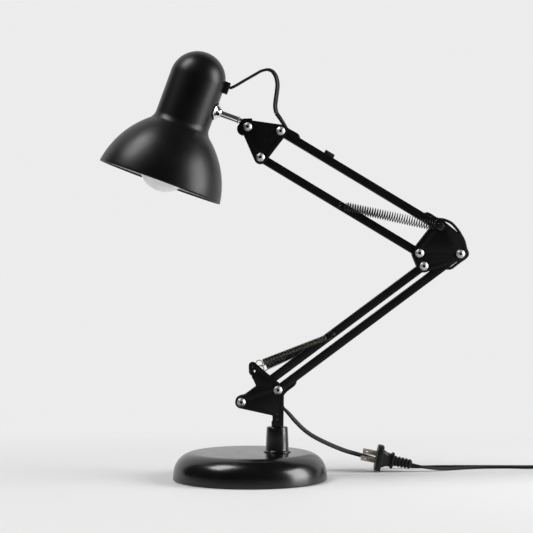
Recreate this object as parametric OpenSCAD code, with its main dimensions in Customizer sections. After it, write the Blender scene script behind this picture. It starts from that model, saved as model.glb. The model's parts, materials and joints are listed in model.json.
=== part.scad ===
// Architect lamp with two sprung parallelogram arms, a spun shade and a weighted base.
// Millimetres. The origin is the centre of the base on the table, +Z is up, +X is to the
// right and the arms stand in the XZ plane. Angles of the arms are counter-clockwise from +X.

/* [Base] */
// Diameter of the base at its foot
base_d = 177.6; // [160:0.2:200]
// Height of the flat top of the base
base_h = 31.4; // [28:0.2:36]
// Radius of the rounded shoulder of the base
shoulder_r = 24; // [14:0.5:26]
// Slope of the side of the base from the vertical, in degrees
side_slope = 5; // [1:0.5:8]
// Wall of the pressed cover
cover_wall = 1.2; // [0.8:0.1:2]
// Thickness of the pad under the base
pad_t = 1; // [0.8:0.1:2]
// Thickness of the bottom plate
plate_t = 1.2; // [0.8:0.1:2]
// Height of the cast weight
weight_h = 19; // [12:0.5:20]

/* [Post] */
// Distance of the post from the centre of the base
post_x = 31.2; // [20:0.2:45]
// Radius of the collar's flared foot
collar_foot_r = 15.6; // [14.5:0.1:20]
// Radius of the collar above its flare
collar_low_r = 13.2; // [12:0.1:14]
// Radius of the collar at its top
collar_top_r = 12.1; // [10:0.1:13]
// Height of the collar above the base
collar_h = 29.2; // [24:0.2:34]
// Radius of the spindle that turns in the collar
spindle_r = 5; // [4:0.1:6]
// Radius of the spindle's shoulder
spindle_shoulder_r = 6.65; // [6.4:0.05:6.9]

/* [Lower bracket] */
// Height of the pivot of the lower spring bar above the collar
spring_pivot_up = 28.5; // [25.4:0.1:33.4]
// Distance of that pivot behind the post
spring_pivot_back = 41.2; // [38:0.1:46]
// Distance between the two pivots of the bracket
bracket_pitch = 44.2; // [42:0.1:48]
// Slope of the line through the two pivots, in degrees
bracket_slope = 18.3; // [16:0.1:21]
// Distance between the inner faces of the cheeks
cheek_gap = 14; // [13.9:0.1:16]
// Thickness of each cheek
cheek_t = 2; // [1.5:0.1:3]
// Distance of the spring hook's centre in front of the spring bar's pivot
hook_forward = 12.1; // [10:0.1:14]
// Height of the spring hook's centre above the spring bar's pivot
hook_up = 37.5; // [35:0.1:40]
// Radius of the spring hook's slot
hook_slot_r = 3.65; // [3.2:0.05:3.9]
// Width of the spring hook's slot
hook_slot_w = 1.9; // [1.5:0.1:2.1]
// How much lower the rear spring hook sits
rear_hook_drop = 4.6; // [0:0.1:5]

/* [Arms] */
// Width across the square tubes
bar_w = 9.6; // [9:0.1:10]
// Wall of the square tubes
bar_wall = 1; // [0.8:0.1:1.4]
// Length of the bars past their pivots
bar_end = 5; // [4:0.1:6]
// Length of the lower arm between its pivots
lower_len = 261; // [240:1:290]
// Angle of the lower arm, in degrees
lower_angle = 36.7; // [34:0.1:40]
// Length of the upper arm between its pivots
upper_len = 213; // [190:1:240]
// Angle of the upper arm, in degrees
upper_angle = 148.93; // [146:0.01:152]
// Distance of each cable slot from the pivot next to it
slot_at = 21.4; // [18:0.1:26]
// Length of a cable slot
slot_len = 11; // [9:0.1:14]
// Distance of the clip from the head end of the upper cable bar
clip_at = 61.7; // [50:0.1:90]
// Length of the clip
clip_len = 12.7; // [8:0.1:18]
// Height of the clip
clip_h = 4; // [2:0.1:6]

/* [Elbow and head plates] */
// Thickness of the plates
plate_w = 2; // [1.5:0.1:2.5]
// Gap between a bar and a plate
side_gap = 0.5; // [0.4:0.05:0.8]
// Distance between the spring bars' pivots at the elbow
elbow_rise = 15.6; // [15:0.1:17]
// Direction of that line, in degrees
elbow_rise_angle = 108.5; // [105:0.1:112]
// Distance between the upper arm's pivots
upper_pitch = 38; // [37:0.1:41]
// Direction of that line, in degrees
upper_pitch_angle = 52.4; // [50:0.1:55]
// Distance from the spring bar's head pivot to the knuckle's pivot
knuckle_pitch = 38; // [36:0.1:41]
// Direction of that line, in degrees
knuckle_pitch_angle = 112.8; // [110:0.1:116]

/* [Pivot screws] */
// Radius of the screws' shanks
shank_r = 2.4; // [2:0.05:2.6]
// Radius of the domed heads
screw_head_r = 5.15; // [4.5:0.05:5.6]
// Height of the domed heads
screw_head_h = 2.6; // [2:0.1:3.2]
// Size of the hex socket across its flats
socket_w = 3.2; // [2:0.1:4]
// Depth of the hex socket
socket_depth = 1.6; // [1:0.1:2]
// Size of the nuts across their flats
nut_w = 8; // [7:0.1:9]
// Height of the nuts
nut_h = 3.2; // [2.5:0.1:4]
// Radius of the pivot washers
washer_r = 4.4; // [3.8:0.1:4.6]

/* [Springs] */
// Outer diameter of the springs
spring_d = 8; // [7.6:0.1:8.4]
// Diameter of the spring wire
wire_d = 0.9; // [0.7:0.05:1.1]
// Distance of the lower springs from the middle plane
lower_spring_y = 9.3; // [9.2:0.1:10]
// Distance of the upper springs from the middle plane
upper_spring_y = 11.7; // [11.6:0.1:13]
// Curls of each lower spring
lower_curls = 14; // [8:1:15]
// Curls of each upper spring
upper_curls = 18; // [10:1:20]
// Radius of the cross pins of the springs
spring_pin_r = 1.4; // [1:0.05:1.5]

/* [Head] */
// Tilt of the shade's axis from the vertical, in degrees
head_tilt = 20.1; // [0:0.1:30]
// Distance from the knuckle's pivot to the shade's axis
shade_reach = 72.9; // [70:0.1:85]
// Height of the rod's axis above the knuckle's pivot
rod_lift = 4.1; // [3.8:0.1:4.3]
// Radius of the rod
rod_r = 3.8; // [3.5:0.05:4]
// Radius of the rod's thin end
rod_thin_r = 3.2; // [2.5:0.05:3.4]

/* [Shade] */
// Radius of the rim
rim_r = 73.4; // [68:0.2:80]
// Radius of the bell's curve
bell_r = 105; // [102:0.5:112]
// Height of the centre of that curve below the rim
bell_drop = 14.35; // [12:0.05:16]
// Radius of the neck
neck_r = 32.3; // [31:0.1:34]
// Radius of the hollow curve between the bell and the neck
neck_fillet_r = 14; // [8:0.5:18]
// Height of the neck's top, where the dome starts
neck_top = 126.2; // [122:0.2:134]
// Height of the rod above the rim
rod_above_rim = 98.4; // [96:0.1:104]
// Thickness of the shade's sheet
shade_wall = 0.8; // [0.7:0.1:1.4]

/* [Bulb and holder] */
// Radius of the bulb's globe
bulb_r = 30; // [25:0.5:31]
// How far the bulb stands out below the rim
bulb_out = 10; // [0:0.5:20]
// Radius of the lamp holder
holder_r = 17; // [16.5:0.5:19]
// Length of the lamp holder
holder_len = 44; // [36:0.5:46]

/* [Cord] */
// Width of the flat cord
cord_w = 5.6; // [5:0.1:6]
// Thickness of the flat cord
cord_t = 3.2; // [2.8:0.1:3.4]
// Mean radius of the coil
coil_r = 33; // [28:0.5:38]
// Turns in each of the coil's two layers
coil_layer_turns = 3; // [2:1:3]

/* [Plug] */
// Height of the plug's flange
flange_h = 31; // [26:0.5:34]
// Width of the plug's flange
flange_w = 25; // [20:0.5:30]
// Thickness of the plug's flange
flange_t = 7; // [4:0.5:9]
// Length of the plug's grip behind the flange
grip_len = 20; // [14:0.5:26]
// Length of the ribbed strain relief
relief_len = 16; // [10:0.5:20]
// Ribs on the strain relief
relief_ribs = 5; // [3:1:7]
// Length of the blades
blade_len = 17.5; // [15:0.1:18.5]
// Distance between the blades
blade_pitch = 12.7; // [12:0.1:13.5]

/* [Hidden] */
$fn = 48;

// Clearances: a running fit in radius, an open pivot, a seat that stays still, and two
// pieces of different bodies that pass each other
run_fit = 0.05;
open_fit = 0.3;
seat_fit = 0.02;
body_gap = 0.3;
eps = 0.01;

function unit(v) = v / norm(v);
function polar(r, a) = [r * cos(a), r * sin(a)];
function xz(p, y = 0) = [p[0], y, p[1]];
function mix(a, b, t) = a + (b - a) * t;

// Pivots, as [x, z]: bracket p1 and p2, elbow a, b, c and d, head e, f and s
collar_top = base_h + collar_h;
spring_pivot_z = collar_top + spring_pivot_up;
p1 = [post_x - spring_pivot_back, spring_pivot_z];
p2 = p1 + polar(bracket_pitch, bracket_slope);
lower_run = polar(lower_len, lower_angle);
b = p1 + lower_run;
c = p2 + lower_run;
a = b + polar(elbow_rise, elbow_rise_angle);
d = a + polar(upper_pitch, upper_pitch_angle);
upper_run = polar(upper_len, upper_angle);
e = a + upper_run;
f = d + upper_run;
s = e + polar(knuckle_pitch, knuckle_pitch_angle);
lower_mid = p1 + lower_run / 2;
upper_mid = a + upper_run / 2;

bar_y = bar_w / 2;
plate_in = bar_y + side_gap;
plate_out = plate_in + plate_w;
cheek_in = cheek_gap / 2;
cheek_out = cheek_in + cheek_t;
spindle_top = spring_pivot_z - 11;

// A cylinder along Y between two depths at a point of the XZ plane
module rod_y(p, r, y0, y1) {
    translate([p[0], y1, p[1]]) rotate([90, 0, 0]) cylinder(r = r, h = y1 - y0);
}

// A plate between two depths from a drawing in the XZ plane
module plate_y(y0, y1) {
    translate([0, y1, 0]) rotate([90, 0, 0]) linear_extrude(y1 - y0) children();
}

// Outline round corner circles [x, z, r], counter-clockwise. A negative r is a hollow corner.
function edge_normal(p, q) =
    let (v = [q[0] - p[0], q[1] - p[1]])
    atan2(v[1], v[0]) - 90 + asin((p[2] - q[2]) / norm(v));
function turn(a0, a1, out) =
    let (t = (a1 - a0) - 360 * floor((a1 - a0) / 360))
    out ? t : t - 360;
function corner_arc(p, a0, a1) =
    let (sweep = turn(a0, a1, p[2] >= 0), steps = max(1, ceil(abs(sweep) / 15)))
    [for (i = [0 : steps]) let (t = a0 + sweep * i / steps) [p[0], p[1]] + polar(p[2], t)];
function outline(pts) =
    let (n = len(pts))
    [for (i = [0 : n - 1])
        let (before = pts[(i + n - 1) % n], here = pts[i], after = pts[(i + 1) % n])
        each corner_arc(here, edge_normal(before, here), edge_normal(here, after))];

// Sweeping a cross-section along a path, all rings as one closed solid
function way(pts, i) = unit(pts[min(i + 1, len(pts) - 1)] - pts[max(i - 1, 0)]);
function faces_of(rings, n) = concat(
    [[for (j = [n - 1 : -1 : 0]) j]],
    [for (i = [0 : rings - 2]) for (j = [0 : n - 1]) let (k = (j + 1) % n)
        each [[i * n + j, i * n + k, (i + 1) * n + k],
              [i * n + j, (i + 1) * n + k, (i + 1) * n + j]]],
    [[for (j = [0 : n - 1]) (rings - 1) * n + j]]);

// Frames that turn as little as possible along the path
function carry(side, t) = unit(side - (side * t) * t);
function frames(pts, side, i = 0) =
    let (next = carry(side, way(pts, i)))
    i == len(pts) - 1 ? [next] : concat([next], frames(pts, next, i + 1));

// A round wire of 6 sides
wire_sides = 6;
module wire(pts, dia, start_side = [0, 1, 0]) {
    n = wire_sides;
    sides = frames(pts, start_side);
    points = [for (i = [0 : len(pts) - 1])
        let (u = sides[i], v = cross(way(pts, i), u))
        for (j = [0 : n - 1]) let (t = 360 * j / n)
            pts[i] + dia / 2 * (u * cos(t) + v * sin(t))];
    polyhedron(points, faces_of(len(pts), n), convexity = 10);
}

// The flat cord: 8 sides with full flats and rounded edges. u is the direction of its width.
cord_flat = [[1, 0.45], [0.65, 1], [-0.65, 1], [-1, 0.45],
             [-1, -0.45], [-0.65, -1], [0.65, -1], [1, -0.45]];
module cord(pts, sides, first, last, section = cord_flat) {
    n = len(section);
    end = len(pts) - 1;
    points = [for (i = [0 : end])
        let (t = i == 0 ? first : i == end ? last : way(pts, i),
             u = carry(sides[i], t), v = cross(t, u))
        for (q = section) pts[i] + u * q[0] * cord_w / 2 + v * q[1] * cord_t / 2];
    polyhedron(points, faces_of(len(pts), n), convexity = 10);
}
function along_y(pts) = [for (p = pts) [0, 1, 0]];

// Least gap of a wire or cord to itself, measured between points at least skip apart
function least_gap(pts, dia, skip) =
    min([for (i = [0 : len(pts) - 1]) for (j = [i + skip : 1 : len(pts) - 1])
        norm(pts[i] - pts[j])]) - dia;

// Pivot hardware

module domed_screw(p, face, far) {
    dome_r = (pow(screw_head_r, 2) + pow(screw_head_h, 2)) / (2 * screw_head_h);
    difference() {
        union() {
            rod_y(p, shank_r, -face - eps, far);
            translate([p[0], -face, p[1]]) rotate([90, 0, 0]) rotate_extrude()
                intersection() {
                    translate([0, screw_head_h - dome_r]) circle(r = dome_r);
                    square([screw_head_r, screw_head_h]);
                }
        }
        translate([p[0], -face - screw_head_h + socket_depth, p[1]]) rotate([90, 0, 0])
            cylinder(d = socket_w / cos(30), h = screw_head_h, $fn = 6);
    }
}

module hex_nut(p, face) {
    difference() {
        translate([p[0], face + nut_h, p[1]]) rotate([90, 0, 0])
            cylinder(d = nut_w / cos(30), h = nut_h, $fn = 6);
        rod_y(p, shank_r + seat_fit, face - 1, face + nut_h + 1);
    }
}

module washer_pair(p, inner, outer) {
    for (side = [0, 1]) mirror([0, side, 0]) difference() {
        rod_y(p, washer_r, inner, outer);
        rod_y(p, shank_r + seat_fit, inner - 1, outer + 1);
    }
}

// Base

// Half section of the base, drawn smaller by inset
shoulder_steps = 18;
module base_section(inset) {
    mid = [base_d / 2 - shoulder_r - side_drift, base_h - shoulder_r];
    shoulder = [for (i = [0 : shoulder_steps])
        mid + polar(shoulder_r - inset, mix(90, side_slope, i / shoulder_steps))];
    touch = shoulder[shoulder_steps];
    polygon(concat([[0, 0], [0, base_h - inset]], shoulder,
                   [[touch[0] + touch[1] * tan(side_slope), 0]]));
}
// How far the foot stands out from the shoulder's widest point
side_drift = (base_h - shoulder_r + shoulder_r * sin(side_slope)) * tan(side_slope)
    - shoulder_r * (1 - cos(side_slope));
cover_foot_z = 0.6;
stud_r = spindle_r + 3;

module base_cover() color([0.07, 0.07, 0.07]) difference() {
    rotate_extrude($fn = 96) difference() {
        base_section(0);
        base_section(cover_wall);
        translate([0, -base_h]) square([base_d, base_h + cover_foot_z]);
    }
    translate([post_x, 0, base_h - 2 * cover_wall]) cylinder(r = stud_r + seat_fit, h = 3 * cover_wall);
}

weight_z = pad_t + plate_t;
weight_in = 9;
weight_hole = 8;
plate_in_cover = 0.6;
pad_in = 4;
nut_top = base_h - cover_wall;
module base_weight() color([0.3, 0.3, 0.3]) difference() {
    translate([0, 0, weight_z]) cylinder(r = base_d / 2 - weight_in, h = weight_h, $fn = 96);
    translate([post_x, 0, weight_z - 1]) cylinder(r = stud_r + weight_hole, h = weight_h + 2);
}

module base_plate() color([0.5, 0.5, 0.52])
    translate([0, 0, pad_t]) cylinder(r = base_d / 2 - cover_wall - plate_in_cover, h = plate_t, $fn = 96);

module base_foot_pad() color([0.1, 0.1, 0.1])
    cylinder(r = base_d / 2 - pad_in, h = pad_t, $fn = 96);

stud_len = 9;
collar_edge_r = 1.5;
foot_h = 2.2;
flare_h = 4.4;
collar_side_h = collar_h - foot_h - flare_h - collar_edge_r;
module post_collar() color([0.08, 0.08, 0.08]) translate([post_x, 0, 0]) difference() {
    union() {
        translate([0, 0, base_h - stud_len]) cylinder(r = stud_r, h = stud_len);
        translate([0, 0, base_h]) cylinder(r = collar_foot_r, h = foot_h);
        translate([0, 0, base_h + foot_h])
            cylinder(r1 = collar_foot_r, r2 = collar_low_r, h = flare_h);
        rotate_extrude() union() {
            translate([0, base_h + foot_h + flare_h]) polygon([[0, 0], [collar_low_r, 0],
                [collar_top_r, collar_side_h], [0, collar_side_h]]);
            translate([0, collar_top - collar_edge_r])
                square([collar_top_r - collar_edge_r, collar_edge_r]);
            translate([collar_top_r - collar_edge_r, collar_top - collar_edge_r])
                circle(r = collar_edge_r);
        }
    }
    translate([0, 0, base_h - stud_len - 1])
        cylinder(r = spindle_r + run_fit, h = stud_len + collar_h + 2);
}

flat_h = 1.5;
hex_h = 5;
module collar_nut() color([0.6, 0.6, 0.6]) translate([post_x, 0, 0]) difference() {
    union() {
        translate([0, 0, nut_top - flat_h]) cylinder(r = stud_r + 5, h = flat_h);
        translate([0, 0, nut_top - flat_h - hex_h]) cylinder(r = stud_r + 4, h = hex_h, $fn = 6);
    }
    translate([0, 0, nut_top - stud_len]) cylinder(r = stud_r + seat_fit, h = stud_len + 1);
}

// Swivel and bracket

spindle_foot = base_h - stud_len - 3;
shoulder_z = collar_top + 0.1;
shoulder_h = 6.4;
rivet_z = [shoulder_z + shoulder_h + 2.4, spindle_top - 2.6];
rivet_r = 1.2;
groove_h = 1;
groove_r = spindle_r - 1;

module swivel_spindle() color([0.75, 0.75, 0.78]) difference() {
    translate([post_x, 0, 0]) union() {
        translate([0, 0, spindle_foot]) cylinder(r = spindle_r, h = shoulder_z - spindle_foot + eps);
        translate([0, 0, shoulder_z]) cylinder(r = spindle_shoulder_r, h = shoulder_h);
        translate([-5.5, -cheek_in, shoulder_z + shoulder_h - eps])
            cube([11, cheek_gap, spindle_top - shoulder_z - shoulder_h]);
    }
    for (z = rivet_z) rod_y([post_x, z], rivet_r, -cheek_out, cheek_out);
    translate([post_x, 0, spindle_foot + 1]) difference() {
        cylinder(r = spindle_r + 1, h = groove_h);
        translate([0, 0, -1]) cylinder(r = groove_r, h = groove_h + 2);
    }
}

// Retaining ring in the spindle's groove, under the collar's stud
module spindle_ring() color([0.6, 0.6, 0.6]) translate([post_x, 0, spindle_foot + 1]) difference() {
    cylinder(r = spindle_r + 2, h = groove_h);
    translate([0, 0, -1]) cylinder(r = groove_r, h = groove_h + 2);
}

// Centre of the hook's curved slot
hook_mid = p1 + [hook_forward, hook_up];
// Where the spring's wire lies in the slot's inner end
function hook_end(drop) = hook_mid + [0, -drop] + polar(hook_slot_r, 85);

// Sides of the stem that both cheeks send down beside the spindle
stem_left = post_x - 5.1;
stem_right = post_x + 7.1;
function cheek_corners(drop) = [
    [p1[0], p1[1], 7.1],
    [stem_left - 2.5, p1[1] - 17.2, -2.5],
    [stem_left + 1, collar_top + 1.6, 1],
    [stem_right - 1, collar_top + 1.6, 1],
    [p2[0], p2[1], 7],
    [hook_mid[0] + 0.8, hook_mid[1] - drop + 4.6, 4.4],
    [hook_mid[0] - 1.4, hook_mid[1] - drop + 0.9, 2.2],
    [p1[0] + 13.2, p1[1] + 18.5, -3.5],
    [p1[0] + 10.6, p1[1] + 14.7, -4]
];

module hook_slot(drop) translate(hook_mid - [0, drop]) {
    difference() {
        circle(r = hook_slot_r + hook_slot_w / 2);
        circle(r = hook_slot_r - hook_slot_w / 2);
        translate([-10, -10]) square([10, 20]);
    }
    translate(polar(hook_slot_r, 90)) circle(d = hook_slot_w);
    translate([0, -hook_slot_r - hook_slot_w / 2]) rotate(20) translate([-8, 0]) square([8.4, hook_slot_w]);
}

module cheek(drop) difference() {
    plate_y(cheek_in, cheek_out) difference() {
        polygon(outline(cheek_corners(drop)));
        hook_slot(drop);
    }
    for (p = [p1, p2]) rod_y(p, shank_r + seat_fit, 0, cheek_out + 1);
    for (z = rivet_z) rod_y([post_x, z], rivet_r + seat_fit, 0, cheek_out + 1);
}
module bracket_front_cheek() color([0.06, 0.06, 0.06]) mirror([0, 1, 0]) cheek(0);
module bracket_rear_cheek() color([0.06, 0.06, 0.06]) cheek(rear_hook_drop);

module bracket_rivets() color([0.12, 0.12, 0.12])
    for (z = rivet_z) rod_y([post_x, z], rivet_r - seat_fit, -cheek_out, cheek_out);

module bracket_screws() color([0.85, 0.85, 0.85])
    for (p = [p1, p2]) domed_screw(p, cheek_out, cheek_out + nut_h + 0.8);
module bracket_nuts() color([0.7, 0.7, 0.7]) for (p = [p1, p2]) hex_nut(p, cheek_out);
module bracket_washers() color([0.15, 0.15, 0.15])
    for (p = [p1, p2]) washer_pair(p, bar_y + 0.1, cheek_in);

// Bars: a square tube along its own x from pivot to pivot

module in_bar(p, angle) translate(xz(p)) rotate([0, -angle, 0]) children();

module bar(length, far_end, first_r, last_r) difference() {
    translate([-bar_end, -bar_y, -bar_y]) cube([bar_end + length + far_end, bar_w, bar_w]);
    translate([-bar_end - 1, bar_wall - bar_y, bar_wall - bar_y])
        cube([bar_end + length + far_end + 2, bar_w - 2 * bar_wall, bar_w - 2 * bar_wall]);
    rod_y([0, 0], first_r, -bar_w, bar_w);
    rod_y([length, 0], last_r, -bar_w, bar_w);
}

// Round-ended slot for the cable in the bar's lower face
slot_w = cord_w + 0.8;
module cable_slot(x) translate([x, 0, -bar_y - 1]) {
    run = slot_len - slot_w;
    for (side = [-1, 1]) translate([side * run / 2, 0, 0]) cylinder(d = slot_w, h = 1.5 + bar_wall);
    translate([-run / 2, -slot_w / 2, 0]) cube([run, slot_w, 1.5 + bar_wall]);
}

bore_r = shank_r + run_fit;
open_r = shank_r + open_fit;
cable_bar_end = 7.5;

module lower_spring_bar() color([0.07, 0.07, 0.07]) in_bar(p1, lower_angle) difference() {
    bar(lower_len, bar_end, bore_r, open_r);
    rod_y([lower_len / 2, 0], spring_pin_r + seat_fit, -bar_w, bar_w);
}
module lower_cable_bar() color([0.07, 0.07, 0.07]) in_bar(p2, lower_angle) difference() {
    bar(lower_len, cable_bar_end, bore_r, bore_r);
    cable_slot(slot_at);
    cable_slot(lower_len - slot_at);
}
module upper_spring_bar() color([0.07, 0.07, 0.07]) in_bar(a, upper_angle) difference() {
    bar(upper_len, bar_end, bore_r, open_r);
    rod_y([upper_len / 2, 0], spring_pin_r + seat_fit, -bar_w, bar_w);
}
module upper_cable_bar() color([0.07, 0.07, 0.07]) in_bar(d, upper_angle) difference() {
    bar(upper_len, bar_end, bore_r, bore_r);
    cable_slot(slot_at);
    cable_slot(upper_len - slot_at);
}

module lower_spring_pin() color([0.3, 0.3, 0.3])
    rod_y(lower_mid, spring_pin_r, -lower_spring_y - 2, lower_spring_y + 2);
module upper_spring_pin() color([0.3, 0.3, 0.3])
    rod_y(upper_mid, spring_pin_r, -upper_spring_y - 2, upper_spring_y + 2);

// Small clip on the upper face of the upper cable bar
module bar_clip() color([0.12, 0.12, 0.12]) in_bar(d, upper_angle)
    translate([upper_len - clip_at, 0, -bar_y]) plate_y(-bar_y + 0.6, bar_y - 0.6)
        polygon(outline([[-clip_len / 2 + 0.01, -0.01, 0.01], [-clip_len / 2 + 1.5, -clip_h + 1, 1],
                         [clip_len / 2 - 1, -clip_h + 1, 1], [clip_len / 2 - 0.01, -0.01, 0.01]]));

// The cable inside a bar: in at one slot, along the middle and out at the other
module lead(length) {
    bend = 6;
    route = [[slot_at, 0, -bar_y], [slot_at + 1, 0, 1.2 - bar_y], [slot_at + bend, 0, -0.6],
             [slot_at + 3 * bend, 0, 0], [length / 2, 0, 0], [length - slot_at - 3 * bend, 0, 0],
             [length - slot_at - bend, 0, -0.6], [length - slot_at - 1, 0, 1.2 - bar_y],
             [length - slot_at, 0, -bar_y]];
    cord(route, along_y(route), [0, 0, 1], [0, 0, -1]);
}
module lower_lead() color([0.1, 0.1, 0.1]) in_bar(p2, lower_angle) lead(lower_len);
module upper_lead() color([0.1, 0.1, 0.1]) in_bar(d, upper_angle) lead(upper_len);

// Springs, each one unbroken wire: an eye, the curls and another eye

coil_mid_r = (spring_d - wire_d) / 2;
curl_steps = 8;
// Curls round the line from p to q at depth y. phase 90 starts on top, 0 on the front side.
function curls(p, q, y, n, phase) =
    let (dir = unit(q - p), up = [-dir[1], dir[0]])
    [for (i = [0 : n * curl_steps])
        let (t = i / (n * curl_steps), ang = phase + 360 * i / curl_steps)
        xz(mix(p, q, t) + up * coil_mid_r * sin(ang), y - coil_mid_r * cos(ang))];
// Part of a ring round m in a plane of constant depth
function eye(m, y, r, a0, a1, n) = [for (i = [0 : n]) xz(m + polar(r, mix(a0, a1, i / n)), y)];

// Lower spring: the curls lie a little above the line from the hook to the pin
hook_reach = 12.8;
pin_reach = 7.4;
eye_clear = 0.4;
eye_slip = coil_mid_r - wire_d / 2 - spring_pin_r - eye_clear;
function lower_spring(drop, y, depth) =
    let (hook = hook_end(drop),
         line = unit(lower_mid - hook),
         up = [-line[1], line[0]],
         axis_angle = atan2(line[1], line[0]),
         first = hook + line * hook_reach + up * 2.2,
         last = lower_mid - line * pin_reach,
         ring_mid = hook + line * (hook_reach - 5.1) + up * 0.8,
         inner_y = depth * (cheek_in - body_gap - wire_d / 2),
         outer_y = depth * (cheek_out + 0.7),
         pin_mid = lower_mid - line * eye_slip)
    concat(
        [xz(hook, outer_y), xz(hook, (inner_y + outer_y) / 2), xz(hook + line * 0.5 + up * 0.3, inner_y)],
        eye(ring_mid, inner_y, coil_mid_r, axis_angle + 120, axis_angle - 75, 9),
        curls(first, last, depth * y, lower_curls, 270),
        eye(pin_mid, depth * y, coil_mid_r, axis_angle - 120, axis_angle + 150, 10));

module lower_spring_front() color([0.42, 0.4, 0.36])
    wire(lower_spring(0, lower_spring_y, -1), wire_d, [1, 0, 0]);
module lower_spring_rear() color([0.42, 0.4, 0.36])
    wire(lower_spring(rear_hook_drop, lower_spring_y, 1), wire_d, [1, 0, 0]);

// Upper spring: from the elbow's long pin to the eye on the upper pin
upper_line = unit(upper_mid - d);
upper_line_angle = atan2(upper_line[1], upper_line[0]);
upper_eye_len = 6;
pin_eye_r = shank_r + eye_clear + wire_d / 2 + 0.2;
function upper_spring(depth) =
    let (first = d + upper_line * (pin_eye_r + 2.2), last = upper_mid - upper_line * (upper_eye_len + 0.8))
    concat(
        eye(d, depth * upper_spring_y, pin_eye_r, upper_line_angle + 60, upper_line_angle + 330, 10),
        curls(first, last, depth * upper_spring_y, upper_curls, 90));
module upper_spring_front() color([0.25, 0.25, 0.25]) wire(upper_spring(-1), wire_d);
module upper_spring_rear() color([0.25, 0.25, 0.25]) wire(upper_spring(1), wire_d);

// End eyes of the upper springs on the bar's cross pin
module upper_spring_eyes() color([0.25, 0.25, 0.25]) for (depth = [-1, 1]) {
    mid = upper_mid - upper_line * eye_slip;
    wire(concat(
        [xz(upper_mid - upper_line * upper_eye_len, depth * upper_spring_y)],
        eye(mid, depth * upper_spring_y, coil_mid_r, upper_line_angle - 170, upper_line_angle + 120, 11)),
        wire_d);
}

echo("least gap of a lower spring to itself", least_gap(lower_spring(0, lower_spring_y, -1), wire_d, 5));
echo("least gap of an upper spring to itself", least_gap(upper_spring(-1), wire_d, 5));

// Elbow

elbow_corners = [[b[0], b[1], 7.5], [c[0], c[1], 7.2],
                 [c[0] - 3.3, c[1] + 14.3, 8.2], [d[0], d[1], 8.2], [a[0], a[1], 8.5]];
module elbow_plate() difference() {
    plate_y(plate_in, plate_out) polygon(outline(elbow_corners));
    for (p = [a, b, c, d]) rod_y(p, shank_r + seat_fit, 0, plate_out + 1);
}
module elbow_front_plate() color([0.06, 0.06, 0.06]) mirror([0, 1, 0]) elbow_plate();
module elbow_rear_plate() color([0.06, 0.06, 0.06]) elbow_plate();
module elbow_screws() color([0.85, 0.85, 0.85])
    for (p = [a, b, c]) domed_screw(p, plate_out, plate_out + nut_h + 0.8);
module elbow_nuts() color([0.7, 0.7, 0.7]) for (p = [a, b, c]) hex_nut(p, plate_out);

// Long pin of the upper cable bar, with a head outside each spring eye and a sleeve inside it
pin_head_y = upper_spring_y + wire_d / 2 + body_gap;
module elbow_pin() color([0.1, 0.1, 0.1]) {
    rod_y(d, shank_r, -pin_head_y, pin_head_y);
    for (side = [0, 1]) mirror([0, side, 0]) {
        rod_y(d, 4.2, pin_head_y, pin_head_y + 1.4);
        rod_y(d, 3.8, plate_out, upper_spring_y - wire_d / 2 - body_gap);
    }
}
module elbow_washers() color([0.15, 0.15, 0.15])
    for (p = [a, b, c, d]) washer_pair(p, bar_y + 0.1, plate_in);

// Head

head_corners = [[e[0], e[1], 7.4], [f[0], f[1], 7.4], [s[0], s[1], 7.8]];
module head_plate() difference() {
    plate_y(plate_in, plate_out) polygon(outline(head_corners));
    for (p = [e, f, s]) rod_y(p, shank_r + seat_fit, 0, plate_out + 1);
}
module head_front_plate() color([0.06, 0.06, 0.06]) mirror([0, 1, 0]) head_plate();
module head_rear_plate() color([0.06, 0.06, 0.06]) head_plate();
module head_screws() color([0.85, 0.85, 0.85])
    for (p = [e, f, s]) domed_screw(p, plate_out, plate_out + nut_h + 0.8);
module head_nuts() color([0.7, 0.7, 0.7]) for (p = [e, f, s]) hex_nut(p, plate_out);
module head_washers() color([0.15, 0.15, 0.15])
    for (p = [e, f, s]) washer_pair(p, bar_y + 0.1, plate_in);

// The head's own frame: origin at the knuckle's pivot, x away from the shade, z along its axis
module in_head() translate(xz(s)) rotate([0, head_tilt, 0]) children();
function head_xz(p) = s + [p[0] * cos(head_tilt) + p[1] * sin(head_tilt),
                           p[1] * cos(head_tilt) - p[0] * sin(head_tilt)];
// A revolved piece round the rod's axis, with its profile drawn as [radius, x]
module on_rod() translate([0, 0, rod_lift]) rotate([0, 90, 0]) rotate_extrude() children();
module rod_x(r, x0, x1) translate([x0, 0, rod_lift]) rotate([0, 90, 0]) cylinder(r = r, h = x1 - x0);

knuckle_root = -5.2;
rod_step = -13.4;
ring_len = 1.2;
module knuckle() color([0.05, 0.05, 0.05]) in_head() difference() {
    plate_y(-bar_y, bar_y) polygon(outline([
        [-3.8, -3.75, 7.3], [2.4, -1.5, 4], [3, 3, 3.4], [0.9, rod_lift + 5.6, 1],
        [knuckle_root, rod_lift, 3.9]]));
    rod_y([0, 0], bore_r, -bar_w, bar_w);
    rod_x(rod_thin_r + seat_fit, -20, knuckle_root);
}

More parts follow.
